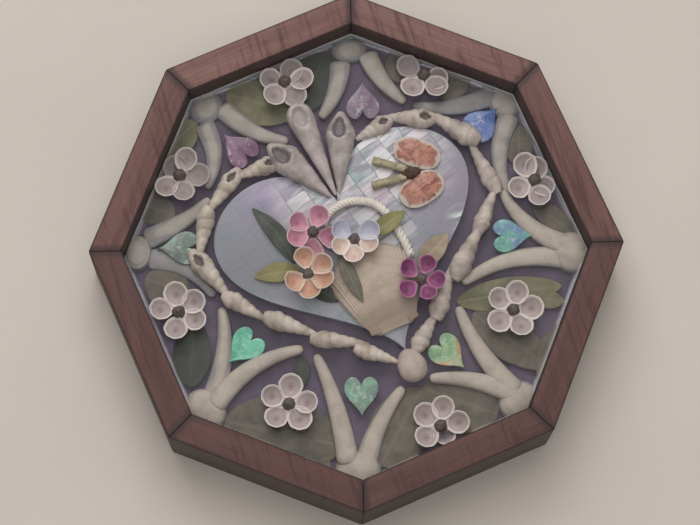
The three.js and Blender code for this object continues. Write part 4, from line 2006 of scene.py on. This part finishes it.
@dataclass
class Butterfly:
    """Two wing shells, a bark body and two horn feelers."""

    wings: tuple[tuple[Point, Point, float], ...] = (
        ((33, 36), (48, 22), 12.5), ((26, 12.3), (46, 15.8), 13.4),
    )
    body: tuple[Point, Point, float] = ((30.6, 22.3), (38.5, 21.6), 2.6)
    feelers: tuple[tuple[Point, Point], ...] = (((22.2, 33.4), (33, 24.6)), ((17.6, 23.4), (32, 21.4)))
    feeler_radius: float = 1.75

    def build(self) -> None:
        """Makes the wings, the body and the feelers."""
        node = ("butterfly",)
        skin = WingShell().make()
        for k, wing in enumerate(self.wings):
            piece = flat_sheet(f"butterfly_wing_{k + 1}", 48, 28)
            mould(piece, lambda sheet: self.wing_form(sheet, *wing))
            modify(piece, "SOLIDIFY", thickness=0.7, offset=-1)
            settle(piece, skin, node, crease=60)
        bark = Grain("bark_body", "6d5548", "3a2c28").make()
        horn = Grain("horn_feeler", "bdb298", "85806a", 0.35, 0.45).make()
        (start, end, radius) = self.body
        steps = np.linspace(0, 1, 16)
        thorax = drawn_bar("butterfly_body", [
            (float(s), float(0.35 + 0.65 * math.sin(math.pi * min(max(s, 0.04), 0.96)))) for s in steps
        ], 18)
        mould(thorax, lambda bar: self.laid(bar, start, end, radius, PLATE_TOP + radius))
        mould(thorax, lambda points: points + 0.4 * wobble(points, 2.6, 12)[:, None])
        settle(thorax, bark, node, crease=60)
        for k, (tip, root) in enumerate(self.feelers):
            girths = [(float(s), 1.0 + 0.05 * math.sin(9 * s)) for s in steps]
            feeler = drawn_bar(f"butterfly_feeler_{k + 1}", girths, 20)
            with edit(feeler, "FACE"):
                choose(feeler, Part.FACES, lambda f: f.calc_center_median().x < 0.001)
                bpy.ops.mesh.inset(thickness=0.3)
                bpy.ops.mesh.extrude_region_move(TRANSFORM_OT_translate={"value": (0.35, 0, 0)})
            level = PLATE_TOP + self.feeler_radius + 0.3
            mould(feeler, lambda bar: self.laid(bar, tip, root, self.feeler_radius, level))
            settle(feeler, horn, node, crease=45)

    def wing_form(self, sheet: np.ndarray, start: Point, end: Point, width: float) -> np.ndarray:
        """Rounds a sheet into a domed wing shell.

        Args:
            sheet: Points of the flat sheet.
            start: Where the wing starts.
            end: Where it ends.
            width: Its width.

        Returns:
            The moved points.
        """
        along, side = sheet[:, 0], sheet[:, 1]
        begin, way = np.array(start), np.array(end) - np.array(start)
        across = np.array([-way[1], way[0]]) / np.linalg.norm(way)
        half = width / 2 * np.maximum(1 - np.abs(2 * along - 1) ** 2.6, 0.0004) ** 0.5
        flat = begin + way * along[:, None] + across * (half * side)[:, None]
        dome = np.clip(1 - np.abs(2 * along - 1) ** 2.4, 0, 1) * (1 - 0.8 * side ** 2)
        ridge = 0.08 * np.cos(26 * side) * (1 - np.abs(side))
        return np.column_stack([flat, PLATE_TOP + 1.6 + 2.2 * dome + ridge])

    def laid(self, bar: np.ndarray, start: Point, end: Point, radius: float, level: float) -> np.ndarray:
        """Lays a straight unit bar level between two points.

        Args:
            bar: Points of the unit bar.
            start: Where it starts.
            end: Where it ends.
            radius: Its radius.
            level: Height of its middle.

        Returns:
            The moved points.
        """
        begin, way = np.array(start), np.array(end) - np.array(start)
        across = np.array([-way[1], way[0]]) / np.linalg.norm(way)
        flat = begin + way * bar[:, :1] + across * (bar[:, 1:2] * radius)
        return np.column_stack([flat, level + bar[:, 2] * radius])


# Camera, floor and light

@dataclass
class Studio:
    """Camera at the photograph's angle, a pale floor and soft light from above."""

    focal_pixels: float = 2442.9
    picture_width: int = 700
    sensor: float = 36.0
    tilt: float = -13.89
    pan: float = 1.13
    roll: float = 1.40
    design_turn: float = 22.5
    reach: float = 109.86
    aim: tuple[float, float, float] = (0.026, 0.06, -9.107)
    sky_tint: Colour = (1.0, 0.96, 0.93, 1)
    sky_strength: float = 0.33
    lamp_tint: tuple[float, float, float] = (1.0, 0.97, 0.93)
    floor_size: float = 6

    def set_camera(self) -> None:
        """Places the camera."""
        view = (
            Matrix.Rotation(math.radians(self.tilt), 3, "X") @ Matrix.Rotation(math.radians(self.pan), 3, "Y")
            @ Matrix.Rotation(math.radians(self.roll + self.design_turn), 3, "Z")
        )
        eye = -(view.transposed() @ (Vector(self.aim) * self.reach)) + Vector((0, 0, RIM_TOP))
        data = bpy.data.cameras.new("camera")
        data.sensor_width = self.sensor
        data.lens = self.focal_pixels / self.picture_width * self.sensor
        camera = bpy.data.objects.new("camera", data)
        bpy.context.scene.collection.objects.link(camera)
        camera.matrix_world = Matrix.Translation(eye * MM) @ view.transposed().to_4x4()
        bpy.context.scene.camera = camera

    def lay_floor(self) -> None:
        """Lays the pale floor."""
        bpy.ops.object.select_all(action="DESELECT")
        bpy.ops.mesh.primitive_plane_add(size=self.floor_size, location=(0, 0, 0))
        floor = just_added("floor")
        floor.data.materials.append(PaleFloor().make())

    def light(self) -> None:
        """Hangs two lamps that show in the resin and a high one that doesn't, and fills in from all round."""
        world = bpy.data.worlds.new("soft_surround")
        world.use_nodes = True
        sky = world.node_tree.nodes["Background"]
        sky.inputs["Color"].default_value = self.sky_tint
        sky.inputs["Strength"].default_value = self.sky_strength
        bpy.context.scene.world = world
        self.lamp("far_lamp", (0.30, 1.36, 1.25), 1.2, 8)
        self.lamp("near_lamp", (-0.25, -0.6, 1.8), 0.9, 4)
        high = self.lamp("high_lamp", (0.16, 0.62, 1.65), 1.3, 12)
        high.visible_glossy = False
        high.visible_transmission = False
        bpy.context.scene.view_settings.view_transform = "Standard"

    def lamp(self, name: str, at: tuple[float, float, float], size: float, power: float) -> Piece:
        """Hangs one square lamp that faces the box.

        Args:
            name: The lamp's name.
            at: Its place, in metres.
            size: Length of its sides, in metres.
            power: Its power, in watts.

        Returns:
            The lamp.
        """
        data = bpy.data.lights.new(name, "AREA")
        data.size = size
        data.energy = power
        data.color = self.lamp_tint
        lamp = bpy.data.objects.new(name, data)
        bpy.context.scene.collection.objects.link(lamp)
        lamp.location = at
        lamp.rotation_mode = "QUATERNION"
        lamp.rotation_quaternion = (-Vector(at)).to_track_quat("-Z", "Y")
        return lamp

    def build(self) -> None:
        """Sets up everything round the box."""
        self.set_camera()
        self.lay_floor()
        self.light()


# Where everything lies, in millimetres

RIM_FLOWERS = (
    ((81, -1), (-32, 38, 97, 184, 263)), ((57.5, 59.5), (-8, 127, 207, 291)),
    ((2.5, 80), (-17, 53, 132, 210, 283)), ((-54, 60), (45, 113, 197, 259, 337)),
    ((-77, 6.5), (-50, 11, 75, 150, 238)), ((-51, -47), (60, 130, 205, 282, 341)),
    ((2, -80), (-12, 57, 121, 196, 270)), ((49.5, -48), (-16, 52, 119, 196, 270)),
)

SPRAYS = (
    Spray((84, 35, 15.5, 12.5), CapKind.FAN, RESIN_TOP + 1.2, (
        Tusk((82, 41), (48, 50), 3, (-0.3, -0.2)), Tusk((85, 30), (69, -2), 4, (0.2, 0.5)))),
    Spray((33.5, 83, 16.5, 11), CapKind.DISC, RESIN_TOP + 0.6, (
        Tusk((28, 80), (10, 60), 2, (0.1, 0.6)), Tusk((40, 79), (46, 52), 2, (1.0, 1.0)))),
    Spray((-32, 83.5, 16.5, 13), CapKind.DISC, RESIN_TOP + 0.6, (
        Tusk((-36, 78), (-46, 51), 3.5, (0.1, 0.3)), Tusk((-26, 82), (-6, 56), 3, (0.3, 0.9)))),
    Spray((-83, 37, 17, 12), CapKind.RINGED, RESIN_TOP + 2.4, (
        Tusk((-78, 41), (-46, 46), 1.5, (-0.2, 1.4)), Tusk((-80, 33), (-61, 7), 4, (-0.3, -0.3)))),
    Spray((-83, -35, 20, 16), CapKind.FAN, RESIN_TOP + 2.4, (
        Tusk((-81, -34), (-60, 2), 3, (0.1, 0.2)), Tusk((-80, -36), (-36, -28), 4.5, (2.6, 1.6)))),
    Spray((-36, -83, 20, 16), CapKind.FAN, RESIN_TOP + 2.4, (
        Tusk((-39, -80), (-32.5, -32), 1.8, (2.6, 1.6)), Tusk((-33, -83), (-5, -59), 2, (0.1, 1.2)))),
    Spray((36, -83, 19, 15), CapKind.FAN, RESIN_TOP + 2.4, (
        Tusk((37, -82), (6, -60), 2.5, (2.4, 1.6)), Tusk((37, -80), (29.5, -37), 2.5, (2.6, 1.6)))),
    Spray((83, -35, 19, 16), CapKind.FAN, RESIN_TOP + 2.4, (
        Tusk((80, -37), (35, -29), 4.5, (0.2, 1.7)), Tusk((84, -33), (67, 1), 4, (2.0, 1.4)))),
)

HEARTS = AbaloneHearts(
    ((72.5, 31), (29.5, 60), (-27, 62), (-67, 32), (-59, -18), (-22.5, -56), (18, -54.5), (63, -19)),
    (
        ("506ca0", "667cb4", "8c96c2"), ("7a6b7d", "887a8b", "a88c98"),
        ("6e5069", "7f5f78", "a3859c"), ("6a746d", "78847e", "7ea29a"),
        ("5fa892", "7ccab0", "7fb4c8"), ("7c7e88", "7e988a", "86ae9a"),
        ("7ea07c", "96b894", "b89878"), ("62978f", "78b0a4", "7088b4"),
    ),
)

BORDER = ShellBorder({
    "right": (
        ((21, 45), (36, 47), 7, True), ((37, 48), (53, 40), 8, True), ((53, 42), (66, 24), 9, False),
        ((63, 24), (64.5, 1), 7, False), ((64, 2), (50, -12), 7, False), ((52, -10), (33, -26), 9, False),
        ((33, -22), (19, -38), 8, False), ((19, -37), (6, -47), 7, False),
    ),
    "left": (
        ((-4, -48), (-16, -37), 7, False), ((-13, -36), (-31, -26), 7.5, False),
        ((-30, -24), (-45, -10), 7.5, False),
        ((-46, -10), (-57, 5), 7, False), ((-56, 5), (-62, 27), 8, True), ((-60, 25), (-49, 42), 8, False),
        ((-49, 41), (-31, 52), 7, True), ((-32, 50), (-14, 49), 7, True),
    ),
})

LONG_SHELLS = (
    LaidSpire("cone_shell_middle", (2, 27), (2, 67.5), 11.6, "long_shell_middle", "grey_shell", rise=0.85),
    LaidSpire("cone_shell_left", (-0.5, 27.5), (-14.5, 56), 13.6, "long_shell_left", "grey_shell", rise=0.7),
    LaidSpire("cone_shell_right", (4.5, 27.5), (18, 57), 13.2, "long_shell_right", "grey_shell", rise=0.7),
)

ROPE = RopeHandle((
    (-8, 16), (-4, 19.5), (3, 21.2), (10, 19.6), (15.4, 15.5), (18.7, 8), (20, -2), (20, -10.5),
))


def build_rim(shell: Finish, seed_skin: Finish) -> None:
    """Builds the corner sprays, the abalone hearts and the flowers inside the rails.

    Args:
        shell: Finish of the lower sprays.
        seed_skin: Finish of the flowers' seeds.
    """
    sunk_shell = ShellSkin("rim_shell_grey", "ada7a1", "98928c", 44, veil=0.5, seed=23).make()
    bar = plain_tusk()
    for k, spray in enumerate(SPRAYS):
        flowers = (RIM_FLOWERS[k][0], RIM_FLOWERS[(k + 1) % SIDES][0])
        spray.build(k + 1, bar, flowers, sunk_shell if k < SIDES // 2 else shell)
    HEARTS.build()
    white = CupSkin("white_cup_skin", "ded6d1", "aea0a1", "8d7b80", alt="8a8484", veil=0.3).make()
    cup, seed = plain_cup(), plain_seed()
    petal_tones = (0.45, 0.65, 0.3, 0.5, 0.6)
    haze_of_side = {"right": 0.1, "top_right": 0.25, "top": 0.2, "top_left": 0.3}
    for side, (at, bearings) in zip(SIDE_NAMES, RIM_FLOWERS):
        tones = tuple(haze_of_side.get(side, 0) + tone for tone in petal_tones)
        CupFlower(
            f"cup_flower_{side}", at, bearings, RESIN_TOP, 4.9, 7.7, 2.4, 14, 0.12, white,
            "white_cup_shell", f"rim_flower_{side}", tones,
        ).build(cup, seed, seed_skin)
    scrap(bar, cup, seed)


def build_heart(seed_skin: Finish) -> None:
    """Builds the pearl plate, the shells round it and the posy on it.

    Args:
        seed_skin: Finish of the flowers' seeds.
    """
    PearlHeart().build()
    cream = ShellSkin("border_shell_cream", "d0c5bb", "a2958a", 22, seed=5).make()
    grey = ShellSkin("border_shell_grey", "c9beb6", "9b908a", 22, seed=15).make()
    closed = Spire("spire_closed", 5.5, 0.74, 0.22, 0.5, 1.6, 0.17, None).shape()
    gaping = Spire("spire_gaping", 5.5, 0.7, 0.22, 0.42, 1.7, 0.16, (0.78, 0.15, 0.4)).shape()
    BORDER.build(closed, gaping, {"right": grey, "left": cream})
    TipShell().build(ShellSkin("tip_shell_cream", "c2b5ac", "afa298", 9, 0.28).make())
    cone = Spire("cone_spoon", 7, 0.84, 0.08, 0.3, 3.2, 0.04, (0.84, 0.13, 0.62)).shape()
    gaping_cone = Spire("cone_gaping", 6, 0.7, 0.08, 0.2, 1.5, 0.06, (0.79, 0.17, 0.6)).shape()
    pale = ShellSkin("cone_shell_pale", "c2b8b5", "9b9391", 20, 0.16, mouth="a79f9f").make()
    dull = ShellSkin("cone_shell_grey", "b9b0ad", "8f8786", 20, 0.22, mouth="6f686a").make()
    for shell, pattern, skin in zip(LONG_SHELLS, (cone, gaping_cone, gaping_cone), (pale, dull, dull)):
        shell.build(pattern, skin)
    scrap(closed, gaping, cone, gaping_cone)
    Scallop().build(ScallopSkin().make())
    ROPE.build(RopeFibre().make())
    Butterfly().build()
    build_posy(seed_skin)


def build_posy(seed_skin: Finish) -> None:
    """Builds the four flowers and the leaves round them.

    Args:
        seed_skin: Finish of the flowers' seeds.
    """
    peach = CupSkin("peach_cup_skin", "dccbbd", "cda692", "bd8c76", alt="c69678", veil=0).make()
    pink = CupSkin("pink_cup_skin", "dcb8c5", "cc97aa", "b0708a", alt="d090ac", veil=0).make()
    white = CupSkin("white_posy_skin", "f0e8e2", "dccac0", "c4ada2", alt="bcc4dc", veil=0).make()
    purple = CupSkin("purple_cup_skin", "b880a2", "965680", "6c3a5c", alt="9c5486", veil=0).make()
    cup, seed = plain_cup(), plain_seed()
    table = (
        ("peach", (-22.5, -1.5), (-50, 10, 80, 188, 255), 4.6, peach, 5.2, (0.2, 0.3, 0.1, 0.4, 0.2), ()),
        ("pink", (-13.5, 14.5), (-36, 42, 126, 183, 245), 4.6, pink, 3.6, (0.3, 0.5, 0.7, 0.2, 0.4), (0, 4)),
        ("white", (1, 4.5), (-50, 5, 127, 184, 245), 4.3, white, 4.4, (0.2, 1.0, 1.0, 0.4, 0.1), ()),
        ("purple", (19, -22), (-28, 40, 118, 194, 273), 4.0, purple, 4.2, (0.2, 0.5, 0.3, 0.1, 0.4), ()),
    )
    for name, at, bearings, radius, skin, lift, tones, under in table:
        CupFlower(
            f"posy_{name}", at, bearings, PLATE_TOP + lift, radius, 7.6, 3.2, 24, 0.38, skin,
            f"{name}_cup_shell", f"{name}_flower", tones, 2.5, 3.0, under,
        ).build(cup, seed, seed_skin)
    scrap(cup, seed)
    dark = LeafSkin("leaf_dark_green", "565c54", "3f4741", "676f66").make()
    fresh = LeafSkin("leaf_fresh_green", "918c62", "75734c", "a5a17c", seed=9).make()
    dull = LeafSkin("leaf_grey_green", "7a786a", "64625a", "8c8a7c", seed=17).make()
    tan = LeafSkin("leaf_olive_tan", "ac9c86", "8f8270", "bdae9a", seed=29).make()
    for leaf in (
        Leaf("leaf_blade_tall", (-25, 6), (-32, 35), 7.4, PLATE_TOP + 0.8, dark, "leaf_tall", bend=-1.5),
        Leaf("leaf_blade_left", (-24, 3), (-43, 7.5), 8.4, PLATE_TOP + 0.8, fresh, "leaf_left"),
        Leaf("leaf_blade_low", (-24, -4), (-15, -16), 7.4, PLATE_TOP + 0.8, dark, "leaf_low"),
        Leaf("leaf_blade_right", (8, 3.5), (25.5, 7.5), 7.6, PLATE_TOP + 4.3, fresh, "leaf_right"),
        Leaf("leaf_blade_on_scallop", (-7.5, 1), (-6.5, -21.5), 6, PLATE_TOP + 5.4, dull, "leaf_on_scallop"),
        Leaf("leaf_blade_olive", (21, -16), (38.5, -7.5), 9.4, PLATE_TOP + 0.7, tan, "leaf_olive"),
    ):
        leaf.build()
    build_sunk_leaves()


def build_sunk_leaves() -> None:
    """Lays the broad leaves that lie in the resin behind the rim flowers."""
    dull = LeafSkin("sunk_leaf_olive", "857c6e", "675f55", "8f8778", 0.12, seed=41).make()
    fresh = LeafSkin("sunk_leaf_green", "989376", "757256", "a39e84", 0.1, seed=53).make()
    dark = LeafSkin("sunk_leaf_dark", "525248", "3d3f3b", "606058", 0.12, seed=67).make()
    level = (LINING_TOP + RESIN_TOP) / 2
    table = (
        ((-27, -85), (2, -62), 26, dull), ((26, -85), (2, -62), 26, dull),
        ((30, -35), (73, -46), 14, fresh), ((60, -46), (71, -53), 8, fresh), ((34, -42), (54, -76), 18, dull),
        ((68, -62), (48, -78), 14, dull), ((77, -9), (87, -29), 10, dull), ((78, 8), (86, 24), 12, dull),
        ((62, 46), (74, 62), 16, dull), ((46, 62), (58, 76), 14, dull),
        ((-22, 86), (3, 66), 20, fresh), ((24, 86), (3, 66), 20, dark),
        ((-58, 72), (-38, 80), 15, fresh), ((-62, 46), (-76, 58), 14, dull),
        ((-84, 26), (-70, 12), 18, dull), ((-85, -24), (-72, 2), 16, dark),
        ((-78, -42), (-36, -72), 30, dull), ((-38, -30), (-43, -42), 7, dark),
        ((-46, -78), (-72, -52), 20, dull),
    )
    for k, (start, end, width, skin) in enumerate(table, 1):
        Leaf(
            f"sunk_leaf_{k}", start, end, width, level, skin, arch=0.5, fold=0.3, blunt=0.62, thick=0.35,
        ).build()


def main() -> None:
    """Builds the box piece by piece."""
    logging.basicConfig(level=logging.INFO, format="%(name)s: %(message)s")
    bpy.ops.object.select_all(action="DESELECT")
    Studio().build()
    RailFrame().build()
    Floor().build()
    ResinPour().build()
    seed_skin = Grain("dark_seed", "766b68", "4c4443", 1.1, 0.55).make()
    build_rim(ShellSkin("rim_shell_cream", "bdb4a9", "a79f97", 44).make(), seed_skin)
    build_heart(seed_skin)


if __name__ == "__main__":
    main()
